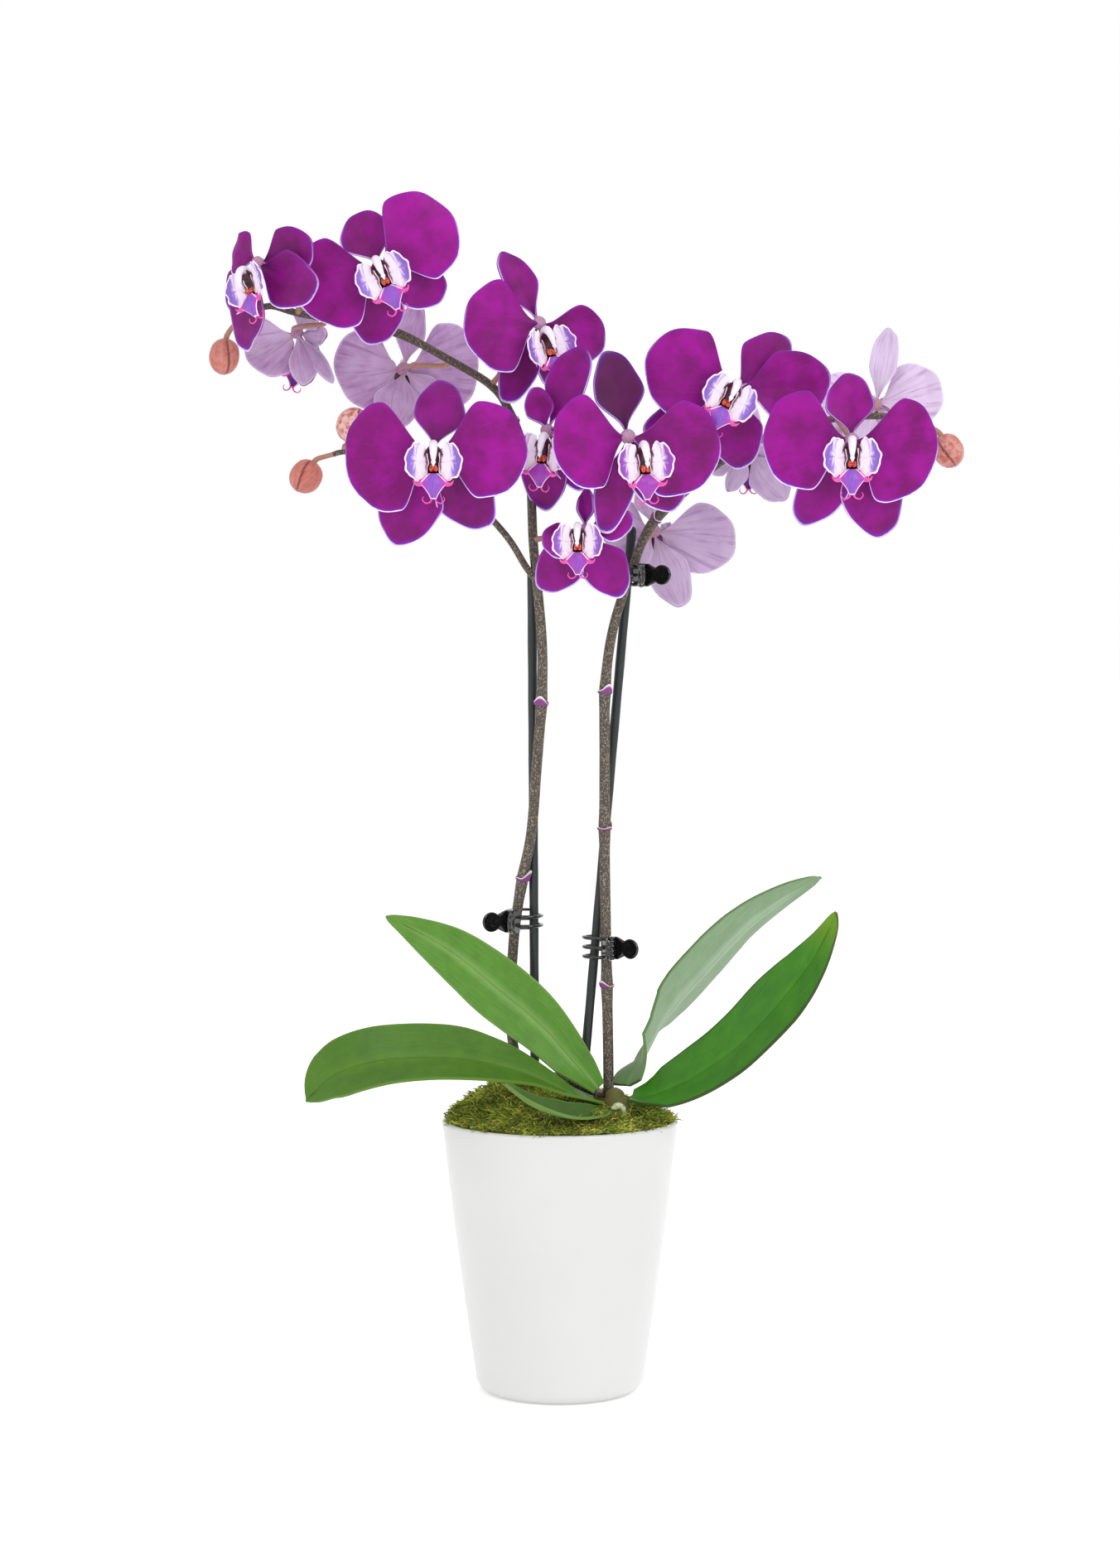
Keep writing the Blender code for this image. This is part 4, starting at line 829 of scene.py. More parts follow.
petal_rim, spot, _ = start_finish("petal_rim", {"Specular IOR Level": 0.3, "Sheen Weight": 0.1})
rim_cloud = band(grain(spot, 9 * MM, 2), 0.40, 0.60)
# The rim is painted paler where it faces down, as painted light.
rim_light = band(painted(spot, "light"), 0.5, 0.95)
feed(petal_rim, blend(rim_light * (0.4 + 0.6 * rim_cloud), shade(132, 18, 140), shade(222, 190, 232)),
     0.5 + 0.1 * rim_cloud)

stalk_skin, spot, _ = start_finish("stalk_skin", {"Specular IOR Level": 0.35})
stalk_reach = painted(spot, "reach")
stalk_fibre = grain(spot, 0.9 * MM, 3, (1, 1, 3))
stalk_colour = blend(stalk_fibre, shade(150, 104, 84), shade(186, 142, 118))
stalk_colour = blend(band(stalk_reach, 0.35, 0.95), stalk_colour,
                     blend(stalk_fibre, shade(150, 92, 128), shade(196, 158, 184)))
feed(stalk_skin, stalk_colour, 0.5 + 0.15 * stalk_fibre, stalk_fibre, 0.15 * MM)

# Each flower: hub above the rim's plane in millimetres, (turn, tip, roll) in degrees, scale, its
# dorsal sepal, petals and lower sepals as (direction from the front, length, half width), how far
# its lip sits from the hub, the stem it grows on and where it joins, and how pale its reverse is.
FLOWERS = {
    1: ((-162, -34, 465), (-38, 5, 22), 0.95,
        ((12, 34, 14), (150, 20, 12), (335, 42, 15), (216, 40, 11), (240, 52, 13)),
         (0, -8), "left", (-146, 2, 442), 0.3),
    2: ((-97, -26, 464), (4, 6, 24), 1.0,
        ((113, 31, 14), (201, 47, 24), (38, 48, 24), (266, 42, 14.5), (337, 39, 13.5)),
         (0, -1), "left", (-104, 3, 436), 0.3),
    3: ((-145, 21, 433), (172, 12, 12), 0.88,
        ((55, 15, 8), (207, 31, 18), (352, 17, 6), (285, 34, 8), (307, 40, 4)),
         (0, -8), "left", (-127, 3, 439), 0.3),
    4: ((-87, 33, 414), (182, 4, 0), 0.95,
        ((78, 36, 8), (178, 38, 22), (2, 42, 24), (261, 34, 13), (318, 30, 7)),
         (0, 0), "left", (-62, 4, 418), 0.2),
    5: ((-11, -15, 435), (24, 2, 14), 0.95,
        ((116, 42, 9.5), (187, 43, 24), (346, 42, 15), (250, 46, 10.5), (290, 36, 8)),
         (1, -9), "left", (-34, 2, 399), 0.3),
    6: ((-67, -56, 363), (2, 3, 0), 1.0,
        ((81, 38, 13.5), (188, 47, 28), (2, 50, 24.5), (246, 53, 17), (306, 49, 15)),
         (0, -1), "branch", (-68, -2, 352), 0.3),
    7: ((-7, -30, 376), (-14, 8, -6), 0.95,
        ((67, 48, 11), (106, 24, 8), (3, 30, 14), (262, 44, 13), (300, 38, 9)),
         (0, -7), "left", (-19, -4, 365), 0.4),
    8: ((36, -61, 371), (10, 6, 4), 1.0,
        ((102, 45, 13), (190, 40, 24), (346, 51, 25), (259, 53, 10.5), (308, 49, 14)),
         (7, -9), "right", (60, -12, 338), 0.4),
    9: ((94, -34, 398), (6, 4, -28), 1.0,
        ((43, 40, 14), (163, 50, 24), (3, 52, 19), (208, 54, 10.5), (275, 43, 14)),
         (-3, -1), "right", (103, -16, 369), 0.4),
    10: ((154, -62, 369), (-4, 3, 0), 1.0,
         ((93, 35, 12.5), (181, 47, 25), (346, 45, 27), (239, 52, 13), (290, 54, 16)),
         (0, -5), "right", (147, -16, 383), 0.4),
    11: ((13, -41, 322), (-4, 8, 0), 0.9,
         ((87, 22, 4.6), (202, 24, 9.4), (13, 27, 8.5), (235, 41, 12.4), (298, 41, 12.7)),
         (-3, -1), "left", (-14.6, -14, 321), 0.4),
    12: ((52, 25, 324), (180, 6, 0), 0.95,
         ((92, 30, 10), (172, 30, 14), (350, 46, 19), (240, 30, 8), (289, 46, 11.5)),
         (0, 0), "right", (46, -9, 319), 0.6),
    13: ((104, 18, 368), (176, 10, 0), 0.85,
         ((95, 28, 8), (178, 30, 14), (2, 32, 16), (247, 27, 5.5), (305, 36, 11)),
         (0, 0), "right", (112, -16, 373), 0.75),
    14: ((174, 16, 393), (186, 4, 0), 0.92,
         ((81, 42, 7.5), (178, 36, 17), (14, 38, 17), (240, 32, 11), (300, 32, 11)),
         (0, 0), "right", (165, -16, 385), 0.85),
}

# Each kind of tepal: where its claw has opened out, how far forward it sits, how far it tips back,
# how blunt it is, and whether its veins fan.
DORSAL = (0.50, -1.6, 9, 0.06, False)
PETAL = (0.46, 1.4, 4, 0.0, True)
SEPAL = (0.50, -1.6, 10, 0.12, False)

# Tepals that are deeper or brighter than the rest, by flower and position.
TONES = {(1, 0): 0.3, (1, 2): 0.32, (1, 3): 0.3, (1, 4): 0.3, (2, 2): 0.7, (5, 1): 0.6, (8, 0): 0.02, (6, 0): 0.30,
         (8, 4): 0.42, (8, 2): 0.38, (6, 3): 0.42, (6, 4): 0.30, (9, 4): 0.38, (5, 3): 0.30,
         (7, 0): 0.42, (2, 3): 0.35, (10, 0): 0.45, (6, 2): 0.62, (6, 1): 0.60, (8, 1): 0.66, (9, 1): 0.60,
         (10, 1): 0.60}


TEPAL_WALL, TEPAL_SOFTNESS = 0.9 * MM, 0.22 * MM


def tepal(number, position, kind, angle, length, half, scale, pale):
    claw, forward, tip_back, blunt, fans = kind
    luck = random.Random(number * 10 + position)
    phases = [luck.uniform(0, 6.28) for _ in range(4)]
    outward = Vector((math.cos(angle), 0, math.sin(angle)))
    sideways = Vector((math.sin(angle), 0, -math.cos(angle)))
    full_reach = length * MM
    full_half = half * 1.04 * MM
    tone = TONES.get((number, position), 0.5 if position in (1, 2) else 0.38)
    droop = -1 if sideways.z > 0 else 1

    def place(a, b):
        along, across = a * math.sqrt(1 - b * b / 2), b * math.sqrt(1 - a * a / 2)
        disc = min(1.0, math.hypot(along, across))
        bearing = math.atan2(across, along)
        share_out = (along + 1) / 2
        opening = min(1, share_out / claw)
        opening = opening * opening * (3 - 2 * opening)
        opening = 0.10 + 0.90 * opening
        ripple = 1 + disc ** 3 * (0.022 * math.sin(3 * bearing + phases[0])
                                  + 0.012 * math.sin(7 * bearing + phases[1]))
        reach = 1.5 * MM + (full_reach - 1.5 * MM) * share_out * (1 + (ripple - 1) * 0.6)
        spread = full_half * across * opening * ripple * (1 - blunt * share_out ** 3)
        if fans:
            reach -= 0.05 * full_half * droop * across * share_out
        depth = forward * scale * MM * min(1, 0.6 + share_out * 2) - math.tan(math.radians(tip_back)) * reach
        edge_lift = 1.5 * MM * across ** 2 * math.sin(math.pi * min(1, share_out))
        wave = disc ** 2 * MM * (0.9 * math.sin(2 * bearing + phases[2]) + 0.5 * math.sin(5 * bearing + phases[3]))
        tip_curl = -1.8 * MM * max(0, share_out - 0.78) / 0.22
        groove = -0.5 * MM * math.exp(-(spread / (1.6 * MM)) ** 2) * (1 - share_out) * math.sin(math.pi * share_out)
        point = outward * reach + sideways * spread + Vector((0, -(depth + edge_lift + wave + tip_curl + groove), 0))
        if fans:
            fan = math.atan2(spread, reach * 0.9 + 3 * MM) / math.pi + 0.5
        else:
            fan = 0.5 + 0.5 * across / max(0.2, math.sqrt(1 - min(0.96, along * along)))
        # How far each edge faces down: the margin and rim are painted paler there, as painted light.
        facing_down = -(outward.z * along * 0.6 + sideways.z * across)
        light = min(1.0, max(0.0, 0.35 + 0.75 * facing_down + 0.15 * math.sin(bearing * 2 + phases[0])))
        return point, (fan, share_out), {"margin": (1 - disc) * full_half / MM, "tone": tone, "pale": pale,
                                         "along": share_out, "light": light}

    steps = (30, 26) if fans else (28, 18)
    return shaped_sheet(f"tepal_{number}_{position}", *steps, place, TEPAL_WALL, TEPAL_SOFTNESS, Vector((0, -1, 0)),
                        [petal_front, petal_back, petal_rim])


def flower_space(number):
    """Where a flower's hub is, and the way it faces."""
    hub, (turn, tip, _), *_ = FLOWERS[number]
    return (Matrix.Translation(above_rim([hub])[0]) @ Matrix.Rotation(math.radians(turn), 4, "Z")
            @ Matrix.Rotation(math.radians(tip), 4, "X"))


def pedicel_line(space, scale, stem, join):
    """A pedicel's route: straight back from the hub, then round to meet its stem square on."""
    path, sizes = stem
    joint = above_rim([join])[0]
    index = min(range(len(path)), key=lambda k: (path[k] - joint).length)
    foot, tangent = path[index], heading_at(path, index)
    back = space.to_3x3() @ Vector((0, 1, 0))
    leave = space @ Vector((0, 9 * scale * MM, 0))
    way = leave - foot
    square = (way - tangent * way.dot(tangent)).normalized()
    reach = max(way.length * 0.35, 6 * MM)
    second = foot + square * (sizes[index] + 3.4 * MM)
    points = [space @ Vector((0, 0.4 * MM, 0)), leave, leave + back * reach * 0.25 + (second - leave) * 0.4, second,
              foot + square * sizes[index] * 0.6]
    return smooth_path(points, 2.2 * MM)


for number, (hub, _, scale, tepals, _, stem_name, join, pale) in FLOWERS.items():
    space = flower_space(number)
    mirrored = (space.to_3x3() @ Vector((0, -1, 0))).y > 0
    parts = []
    for position, (kind, (angle, length, half)) in enumerate(zip((DORSAL, PETAL, PETAL, SEPAL, SEPAL), tepals)):
        angle = math.radians(180 - angle if mirrored else angle)
        parts.append(tepal(number, position, kind, angle, length, half, scale, pale))
        parts[-1].data.transform(space)
    line = pedicel_line(space, scale, stems[stem_name], join)
    count = len(line) - 1
    sizes = []
    for index in range(count + 1):
        share = 1 - index / count
        sizes.append((1.35 + 1.1 * max(0, share - 0.45) ** 1.3 + 0.5 * math.exp(-(share / 0.08) ** 2)) * MM)
    stalk = drawn_tube(f"pedicel_{number}", line, sizes, stalk_skin, 3)
    nearest = [min(range(count + 1), key=lambda k: (line[k] - point.co).length_squared)
               for point in stalk.data.vertices]
    paint(stalk.data, "reach", [1 - k / count for k in nearest])
    parts.append(stalk)
    boss_profile = [(0.6, -3.0), (2.2, -2.4), (3.6, -1.0), (4.1, 0.6), (3.4, 2.4), (2.0, 3.8), (0.8, 4.4)]
    boss = turned(f"hub_{number}", [(r * scale * MM, h * MM) for r, h in boss_profile], 20, stalk_skin, 70)
    paint(boss.data, "reach", [1.0] * len(boss.data.vertices))
    boss.data.transform(space @ Matrix.Rotation(math.radians(-90), 4, "X"))
    parts.append(boss)
    bloom = joined(f"bloom_{number:02d}", parts)
    fix(bloom, [f"flower_{number:02d}"])


# ---------------------------------------------------------------------------------------------
# The lips: two upright ears, a dark throat with its callus, a keeled middle lobe with hooks and
# two fine tendrils, and the pale column over them. One is modelled in front of a hub and copied.
def lip_values(spot):
    return painted(spot, "margin"), painted(spot, "outer"), painted(spot, "tone")


ear_skin, spot, surface = start_finish("lip_ear", {"Specular IOR Level": 0.4, "Coat Weight": 0.15})
margin, outer, tone = lip_values(spot)
rays = grain(surface, 0.06, 3, (1, 12, 1))
ear_violet = blend(rays, shade(92, 52, 176), shade(168, 124, 214))
ear_violet = blend(band(tone, 0.2, 1.0) * 0.75, ear_violet, blend(rays, shade(120, 10, 132), shade(178, 44, 196)))
ear_colour = blend(band(outer + 1.5 * (rays - 0.5), -0.05, 0.5), shade(240, 226, 242), ear_violet)
ear_colour = blend(band(outer + 0.5 * (rays - 0.5), -0.62, -0.85), ear_colour, shade(110, 14, 84))
feed(ear_skin, blend(band(margin + 0.8 * (rays - 0.5), 0.6, 0.2), ear_colour, shade(246, 238, 248)),
     0.38 + 0.1 * rays, rays, 0.2 * MM)

throat_skin, spot, _ = start_finish("lip_throat", {"Specular IOR Level": 0.45, "Coat Weight": 0.2})
blotch = grain(spot, 1.6 * MM, 3)
feed(throat_skin, blend(band(blotch, 0.4, 0.65), shade(52, 3, 26), shade(104, 8, 58)), 0.35 + 0.15 * blotch, blotch,
     0.2 * MM)

lobe_skin, spot, surface = start_finish("lip_middle", {"Specular IOR Level": 0.4, "Coat Weight": 0.15})
margin, outer, tone = lip_values(spot)
lobe_rays = grain(surface, 0.08, 3, (1, 8, 1))
lobe_colour = blend(lobe_rays, shade(104, 50, 168), shade(158, 96, 206))
lobe_colour = blend(band(outer, 0.25, 0.9) * 0.7, lobe_colour, shade(190, 40, 180))
lobe_colour = blend(band(tone, 0.2, 1.0) * 0.7, lobe_colour,
                    blend(lobe_rays, shade(132, 4, 120), shade(186, 30, 180)))
feed(lobe_skin, blend(band(margin + 0.8 * (lobe_rays - 0.5), 0.9, 0.3), lobe_colour, shade(244, 234, 248)),
     0.38 + 0.12 * lobe_rays, lobe_rays, 0.2 * MM)

hook_skin, spot, _ = start_finish("lip_hook", {"Specular IOR Level": 0.4})
hook_cloud = grain(spot, 2 * MM, 2)
feed(hook_skin, blend(hook_cloud, shade(206, 24, 138), shade(238, 110, 190)), 0.4 + 0.1 * hook_cloud)

callus_skin, spot, _ = start_finish("lip_callus", {"Specular IOR Level": 0.5, "Coat Weight": 0.3})
callus_cloud = grain(spot, 0.9 * MM, 2)
feed(callus_skin, blend(band(callus_cloud, 0.42, 0.6), shade(196, 40, 30), shade(244, 128, 92)),
     0.3 + 0.2 * callus_cloud)

column_skin, spot, _ = start_finish("column_wax", {"Specular IOR Level": 0.45, "Coat Weight": 0.2,
                                                   "Subsurface Weight": 0.1,
                                                   "Subsurface Radius": (0.002, 0.001, 0.002)})
column_speck = band(grain(spot, 0.7 * MM, 2), 0.58, 0.70)
column_reach = painted(spot, "reach")
column_colour = blend(band(column_reach, 0.25, 0.0), shade(240, 232, 244), shade(196, 130, 206))
feed(column_skin, blend(column_speck * 0.45, column_colour, shade(172, 130, 200)), 0.32 + 0.1 * column_speck,
     column_speck, 0.08 * MM)

FACE = -3.5 * MM


def ear_place(side):
    def place(a, b):
        up, out = a * math.sqrt(1 - b * b / 2), b * math.sqrt(1 - a * a / 2)
        disc = min(1.0, math.hypot(up, out))
        around = math.atan2(up, out)
        ragged = 1 + disc ** 4 * (0.05 * math.sin(7 * around + side) + 0.035 * math.sin(12 * around))
        x = 8.9 + 6.1 * out * ragged * (1 - 0.10 * up) - 1.2 * up * up
        z = -3.6 + 10.2 * up * ragged
        forward = (5.2 + 3.6 * (out + 1) / 2 - 0.9 * up + 1.5 * disc ** 4 * max(0, out)
                   + 0.5 * math.sin(9 * around) * disc ** 3)
        return (Vector((side * x, -forward, z)) * MM + Vector((0, FACE, 0)), (around / math.pi / 2 + 0.5, disc),
                {"margin": (1 - disc) * 6.1, "outer": out, "tone": 0.0})
    return place


def throat_place(a, b):
    up, out = a * math.sqrt(1 - b * b / 2), b * math.sqrt(1 - a * a / 2)
    disc = min(1.0, math.hypot(up, out))
    return (Vector((5.4 * out, -(1.6 + 4.4 * disc ** 2), -4.0 + 8.6 * up)) * MM + Vector((0, FACE, 0)),
            (0.5 + 0.5 * out, 0.5 + 0.5 * up), {"tone": 0.0})


def lobe_place(a, b):
    share = (1 - a) / 2
    widths = ((0, 2.2), (0.2, 4.6), (0.45, 7.4), (0.62, 5.0), (0.82, 2.7), (1, 1.3))
    for (low, narrow), (high, wide) in zip(widths, widths[1:]):
        if low <= share <= high:
            half = narrow + (wide - narrow) * (share - low) / (high - low)
            break
    droop = math.sin(math.pi * share)
    forward = 6.2 + 5.0 * math.sin(math.pi * (0.12 + 0.74 * share)) + 1.9 * (1 - abs(b)) - 0.8 * droop
    forward += 1.3 * max(0, abs(b) - 0.6) * droop
    z = -10.2 - 13.2 * share + 1.0 * abs(b) ** 2 * droop
    margin = min((1 - abs(b)) * half, (1 - share) * 13)
    return (Vector((b * half, -forward, z)) * MM + Vector((0, FACE, 0)), (0.5 + 0.5 * b, share),
            {"margin": margin, "outer": abs(b), "tone": 0.0})


to_front = Vector((0, -1, 0))
lip_parts = [shaped_sheet("lip_throat", 14, 12, throat_place, 0.6 * MM, 0, to_front, [throat_skin] * 2)]
for side in (-1, 1):
    lip_parts.append(shaped_sheet(f"lip_ear_{side}", 18, 14, ear_place(side), 0.7 * MM, 0.2 * MM, to_front,
                                  [ear_skin] * 2))
lip_parts.append(shaped_sheet("lip_middle", 18, 14, lobe_place, 0.7 * MM, 0.2 * MM, to_front, [lobe_skin] * 2))


def lip_tube(name, points, sizes, material, spacing=0.7, roundness=3):
    """A small tapering part of the lip: a tube through points, its sizes spread evenly along it."""
    line = smooth_path([Vector((x, -forward, z)) * MM + Vector((0, FACE, 0)) for x, forward, z in points],
                       spacing * MM)
    radii = []
    for index in range(len(line)):
        spot_on = index / (len(line) - 1) * (len(sizes) - 1)
        low = min(int(spot_on), len(sizes) - 2)
        radii.append((sizes[low] + (sizes[low + 1] - sizes[low]) * (spot_on - low)) * MM)
    tube = drawn_tube(name, line, radii, material, roundness)
    nearest = [min(range(len(line)), key=lambda k: (line[k] - point.co).length_squared)
               for point in tube.data.vertices]
    paint(tube.data, "reach", [k / (len(line) - 1) for k in nearest])
    return tube


lip_parts.append(lip_tube("column", ((0, -1.5, 1.5), (0, 2.5, 4.6), (0, 7, 5.2), (0, 11, 2.6), (0, 12.6, -1.6),
                                     (0, 12.2, -5.2)),
                          (1.6, 1.9, 2.2, 2.35, 2.3, 2.1, 1.8, 1.2, 0.4), column_skin, 0.7, 5))
lip_parts.append(lip_tube("anther", ((0, 12.4, -3.2), (0, 13.6, -4.6), (0, 13.0, -6.2)), (0.5, 1.3, 1.25, 0.7, 0.3),
                          column_skin, 0.4, 4))
for side in (-1, 1):
    lip_parts.append(lip_tube(f"callus_{side}", ((side * 0.8, 4.5, -7.0), (side * 1.3, 8.5, -8.4),
                                                 (side * 1.9, 11, -7.6)),
                              (1.5, 1.4, 1.0, 0.5, 0.2), callus_skin, 0.6, 3))
    lip_parts.append(lip_tube(f"hook_{side}", ((side * 3.4, 8.2, -12.6), (side * 7.0, 10.4, -15.6),
                                               (side * 9.4, 11.4, -15.4),
                                               (side * 10.6, 11.6, -13.6)), (1.5, 1.6, 1.3, 0.8, 0.2), hook_skin, 0.7,
                              3))
    lip_parts.append(lip_tube(f"tendril_{side}", ((side * 0.5, 8.2, -22.6), (side * 1.8, 8.6, -25.0),
                                                  (side * 4.2, 9.2, -25.6),
                                                  (side * 5.8, 9.4, -23.8), (side * 5.2, 9.0, -22.2)),
                              (0.6, 0.5, 0.42, 0.34, 0.2), hook_skin, 0.6, 2))
lip_pattern = joined("lip_pattern", lip_parts)

LIP_TONES = {1: 0.3, 2: 0.25, 3: 0.3, 4: 0.3, 5: 0.5, 6: 0.0, 7: 0.75, 8: 0.8, 9: 0.25, 10: 0.1, 11: 0.6, 12: 0.3,
             13: 0.3, 14: 0.3}
for number, (_, (_, _, roll), scale, _, (aside, raised), *_) in FLOWERS.items():
    lip_mesh = lip_pattern.data.copy()
    lip_mesh.name = f"lip_{number:02d}"
    lip_mesh.transform(flower_space(number) @ Matrix.Translation(Vector((aside, 0, raised)) * MM)
                       @ Matrix.Rotation(math.radians(roll), 4, (0, -1, 0)) @ Matrix.Scale(scale, 4))
    lip_mesh.attributes["tone"].data.foreach_set("value", [LIP_TONES[number]] * len(lip_mesh.vertices))
    lip = bpy.data.objects.new(f"lip_{number:02d}", lip_mesh)
    bpy.context.scene.collection.objects.link(lip)
    fix(lip, [f"flower_{number:02d}_lip"])
bpy.data.objects.remove(lip_pattern, do_unlink=True)


# ---------------------------------------------------------------------------------------------
# The buds: four plump closed buds at the ends of the sprays, coral and cream, each wrapped in
# three sepals whose edges meet in darker seams. Each is turned, furrowed and set on its pedicel.
bud_skin, spot, _ = start_finish("bud_skin", {"Specular IOR Level": 0.35, "Sheen Weight": 0.1})
seam = painted(spot, "seam")
cream_and_highlight = painted(spot, "cream_and_highlight")
bud_streak = painted(spot, "streak")
bud_cloud = grain(spot, 3.5 * MM, 3)
bud_colour = blend(bud_streak, shade(164, 70, 62), shade(210, 130, 112))
# The cream patches are partly the buds' own paleness and partly painted highlight.
bud_colour = blend(cream_and_highlight * band(bud_cloud, 0.35, 0.7) * 0.9, bud_colour, shade(242, 216, 212))
bud_colour = blend(band(bud_cloud, 0.55, 0.75) * 0.5, bud_colour, shade(160, 66, 70))
bud_colour = blend(band(painted(spot, "top"), 0.80, 1.0) * 0.5, bud_colour, shade(170, 84, 118))
feed(bud_skin, blend(band(seam, 0.35, 0.95) * 0.9, bud_colour, shade(92, 28, 32)), 0.45 + 0.15 * bud_cloud,
     bud_streak - 0.8 * seam, 0.3 * MM)

BUDS = {
    "bud_1": ((-184, 9, 419), (-0.12, 0, -1), 20, 16.5, "left", (-177, 8, 437), 0.2, 0.4),
    "bud_2": ((-139, -1, 353), (-0.55, 0, -0.85), 19, 17.5, "branch", (-124, 0, 365), 0.1, 1.9),
    "bud_3": ((-113, 3, 381), (0.35, 0.1, 1), 20, 18.5, "branch", (-117, 0, 366), 1.0, 1.0),
    "bud_4": ((210, -17, 366), (0.45, 0, -0.9), 19, 16.5, "right", (197, -16, 380), 0.4, 2.8),
}
bud_outline = [(0.05, -0.497), (0.16, -0.475), (0.26, -0.44), (0.35, -0.38), (0.43, -0.29), (0.475, -0.18),
               (0.497, -0.06),
               (0.50, 0.05), (0.48, 0.16), (0.435, 0.26), (0.365, 0.35), (0.28, 0.42), (0.18, 0.465), (0.09, 0.49),
               (0.03, 0.50)]
for bud_name, (middle, direction, tall, wide, stem_name, join, cream_and_highlight_share, turn) in BUDS.items():
    axis = Vector(direction).normalized()
    space = Matrix.Translation(above_rim([middle])[0]) @ axis.to_track_quat("Z", "Y").to_matrix().to_4x4()
    tall, wide = tall * MM, wide * MM
    bud = turned(f"{bud_name}_calyx", [(r * wide, h * tall) for r, h in bud_outline], 54, bud_skin, 80)
    values = {"seam": [], "cream_and_highlight": [], "streak": [], "top": []}
    for point in bud.data.vertices:
        around = math.atan2(point.co.y, point.co.x) + turn + 0.5 * point.co.z / tall
        apart = abs((around * 3 / (2 * math.pi)) % 1 - 0.5) * 2 * math.pi / 3
        closeness = math.exp(-((math.pi / 3 - apart) / 0.13) ** 2)
        values["seam"].append(closeness)
        values["cream_and_highlight"].append(cream_and_highlight_share)
        values["streak"].append(0.5 + 0.5 * noise.noise(Vector((around * 7, point.co.z / tall * 1.5, cream_and_highlight_share * 9))))
        values["top"].append(0.5 + point.co.z / tall)
        point.co.xy *= 1 - 0.07 * closeness + 0.035 * math.cos(3 * around)
    for label, numbers in values.items():
        paint(bud.data, label, numbers)
    bud.data.transform(space)
    path, sizes = stems[stem_name]
    joint = above_rim([join])[0]
    index = min(range(len(path)), key=lambda k: (path[k] - joint).length)
    top = space @ Vector((0, 0, -tall * 0.5))
    heading = heading_at(path, index)
    if index == len(path) - 1:
        start, leave = path[index] - heading * 1 * MM, path[index] + heading * 3 * MM
    else:
        way = top - path[index]
        leave = path[index] + (way - heading * way.dot(heading)).normalized() * (sizes[index] + 1.5 * MM)
        start = path[index]
    line = smooth_path([start, leave, top - axis * 1.5 * MM, top + axis * 2 * MM], 1.2 * MM)
    pedicel = drawn_tube(f"{bud_name}_pedicel", line,
                         [1.35 * MM + 0.5 * MM * (k / len(line)) ** 3 for k in range(len(line))],
                         stalk_skin, 3)
    paint(pedicel.data, "reach", [0.25] * len(pedicel.data.vertices))
    fix(joined(f"{bud_name}_whole", [bud, pedicel]), [bud_name])


# ---------------------------------------------------------------------------------------------
# The clips: three small black claw clips in moulded plastic, each of two jaws on a steel pin,
# whose round fingers close about a spike and its stake. The pads are dished for finger and thumb.
clip_gloss, spot, _ = start_finish("clip_plastic", {"Coat Weight": 0.5, "Coat Roughness": 0.06,
                                                    "Specular IOR Level": 0.5})
clip_wear = band(grain(spot, 1.8 * MM, 4), 0.55, 0.75)
feed(clip_gloss, blend(clip_wear * 0.4, shade(14, 14, 15), shade(48, 48, 50)), 0.16 + 0.22 * clip_wear,
     grain(spot, 0.8 * MM, 2), 0.04 * MM)
pin_steel, spot, _ = start_finish("pin_steel", {"Metallic": 1.0})
pin_draw = grain(spot, 0.2 * MM, 2, (1, 1, 30))
feed(pin_steel, blend(pin_draw, shade(150, 152, 156), shade(196, 198, 202)), 0.22 + 0.15 * pin_draw, pin_draw,
     0.02 * MM)

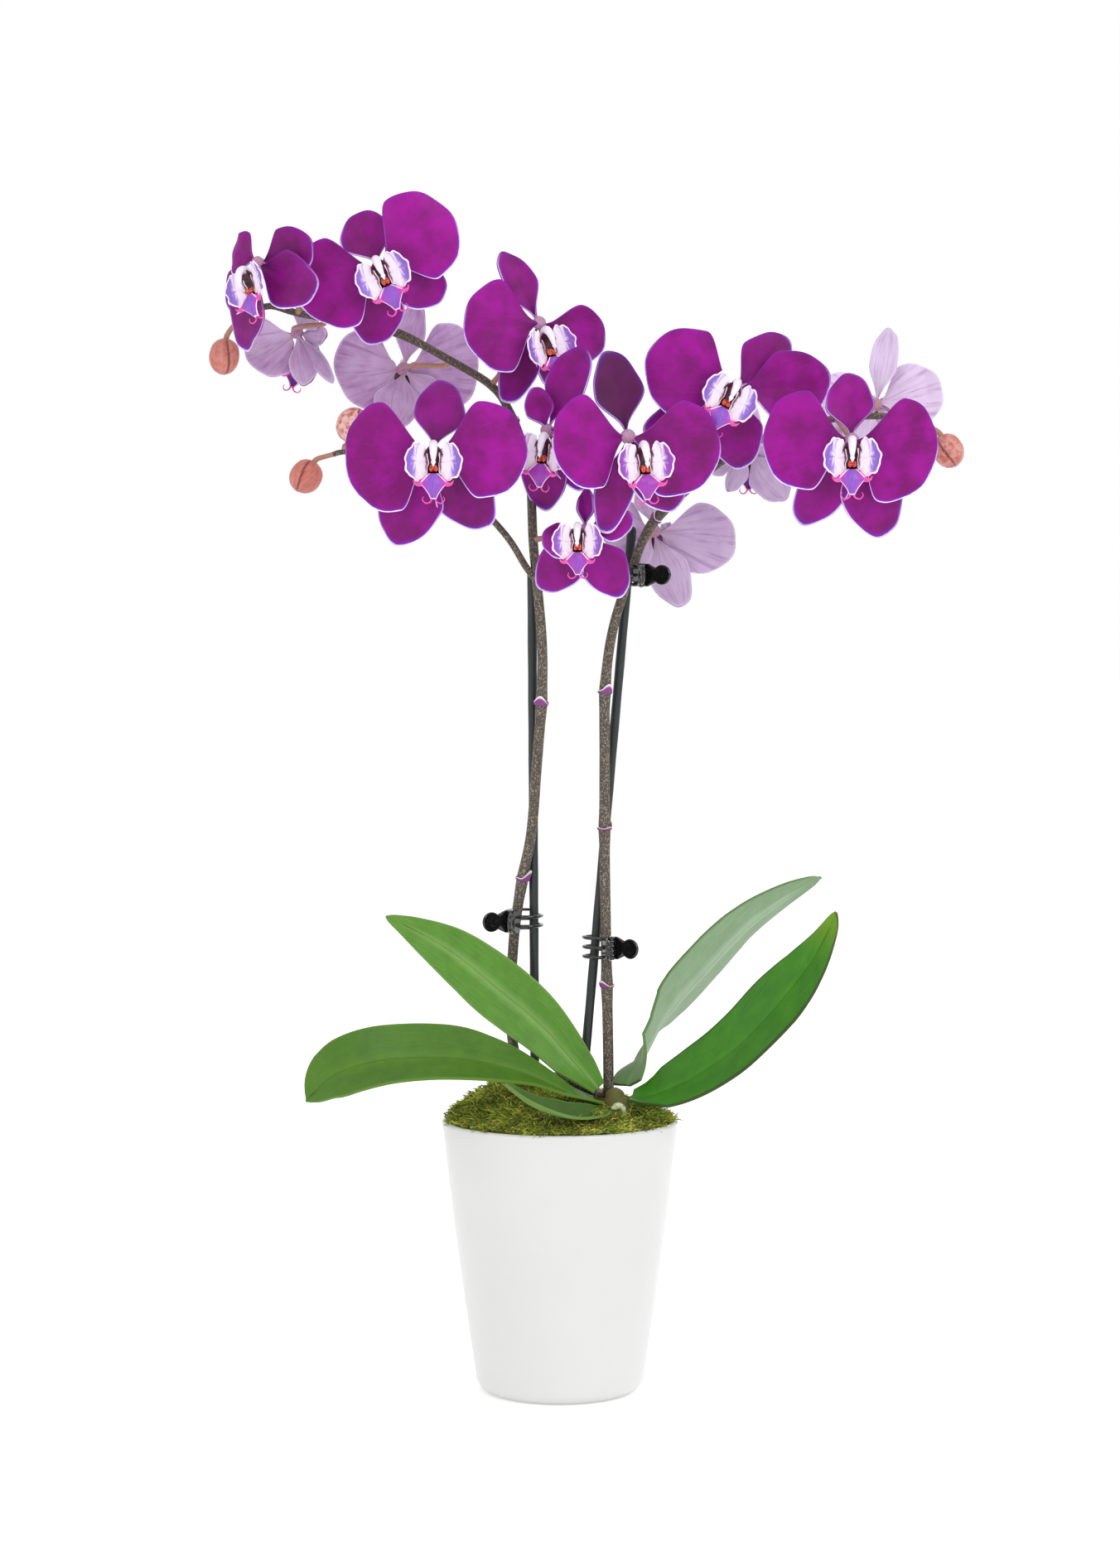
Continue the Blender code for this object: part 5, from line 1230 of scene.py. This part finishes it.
RING, KNUCKLE, FINGER_STEPS, FLARE = 8.764 * MM, 2.4 * MM, 26, math.radians(24)
for clip_name, bearing in {"clip_1": 232, "clip_2": 298, "clip_3": 306}.items():
    low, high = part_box(f"{clip_name}_pin")
    space = Matrix.Translation((low + high) / 2) @ Matrix.Rotation(math.radians(bearing + 180), 4, "Z")
    pin_profile = [(0.3, -7), (0.65, -6.85), (0.8, -6.5), (0.8, 6.5), (0.65, 6.85), (0.3, 7)]
    pin = turned(f"{clip_name}_hinge_pin", in_mm(pin_profile), 24, pin_steel)
    pin.data.transform(space)
    fix(pin, [f"{clip_name}_pin"])
    for jaw, side, levels, body in (("back", 1, (0, 2, 4), "root"), ("front", -1, (1, 3), f"{clip_name}_front")):
        parts = []
        for level in levels:
            height = (level - 2) * 2.6 * MM
            line = []
            for step in range(FINGER_STEPS + 1):
                angle = math.radians(180 - side * (4 + 180 * step / FINGER_STEPS))
                bend = RING + 0.8 * MM
                line.append(Vector((KNUCKLE + RING + math.cos(angle) * bend, math.sin(angle) * bend, height)))
            thin = [0.98 * MM - 0.28 * MM * (step / FINGER_STEPS) ** 2 for step in range(FINGER_STEPS + 1)]
            thin[-1] *= 0.5
            parts.append(drawn_tube(f"{clip_name}_{jaw}_finger_{level}", line, thin, clip_gloss, 3))
            knuckle_profile = [(2.0, -1.1), (2.35, -0.8), (2.4, 0), (2.35, 0.8), (2.0, 1.1)]
            knuckle = turned(f"{clip_name}_{jaw}_knuckle_{level}", in_mm(knuckle_profile), 28, clip_gloss)
            knuckle.data.transform(Matrix.Translation((0, 0, height)))
            parts.append(knuckle)
            web = [Vector((0, side * 0.6 * MM, height)), Vector((0.1 * MM, side * (KNUCKLE + 1.2 * MM), height))]
            parts.append(drawn_tube(f"{clip_name}_{jaw}_web_{level}", web, [1.05 * MM] * 2, clip_gloss, 3))
        flare = Vector((-math.cos(FLARE), side * math.sin(FLARE), 0))
        shoulder = Vector((-1.5 * MM, side * (KNUCKLE + 1.1 * MM), 0))
        select_nothing()
        bpy.ops.mesh.primitive_cube_add(size=1, location=(0, 0, 0))
        plate = bpy.context.object
        plate.name = f"{clip_name}_{jaw}_plate"
        plate.data.transform(Matrix.Diagonal((3.4 * MM, 1.6 * MM, 12.4 * MM, 1)))
        bpy.ops.object.mode_set(mode="EDIT")
        bpy.ops.mesh.select_all(action="DESELECT")
        bpy.ops.object.mode_set(mode="OBJECT")
        for face in plate.data.polygons:
            face.select = face.normal.x < -0.5
        bpy.ops.object.mode_set(mode="EDIT")
        bpy.ops.mesh.extrude_region_move(TRANSFORM_OT_translate={"value": flare * 5 * MM})
        bpy.ops.transform.resize(value=(1, 1, 0.62), center_override=(0, 0, 0))
        end_edit()
        easing = plate.modifiers.new("eased", "BEVEL")
        easing.width, easing.segments = 0.45 * MM, 3
        bpy.ops.object.modifier_apply(modifier="eased")
        bpy.ops.object.shade_smooth_by_angle(angle=math.radians(40))
        plate.data.materials.append(clip_gloss)
        plate.data.transform(Matrix.Translation((0.2 * MM, shoulder.y, 0)))
        parts.append(plate)
        pad_profile = [(3.2, -0.55), (4.9, -0.9), (5.4, -0.5), (5.5, 0), (5.35, 0.6), (4.9, 0.9), (4.4, 0.85),
                       (3.9, 0.35),
                       (2.6, 0.0), (2.3, 0.3), (1.6, 0.55), (0.5, 0.6)]
        pad = turned(f"{clip_name}_{jaw}_pad", in_mm(pad_profile), 40, clip_gloss, 50)
        outwards = Vector((-flare.y, flare.x, 0)) * -side
        pad_turn = outwards.to_track_quat("Z", "Y").to_matrix().to_4x4()
        pad.data.transform(Matrix.Translation(shoulder + flare * 8.5 * MM) @ pad_turn)
        parts.append(pad)
        whole = joined(f"{clip_name}_{jaw}_claw", parts)
        whole.data.transform(space)
        fix(whole, [f"{clip_name}_jaw_{jaw}"], body)
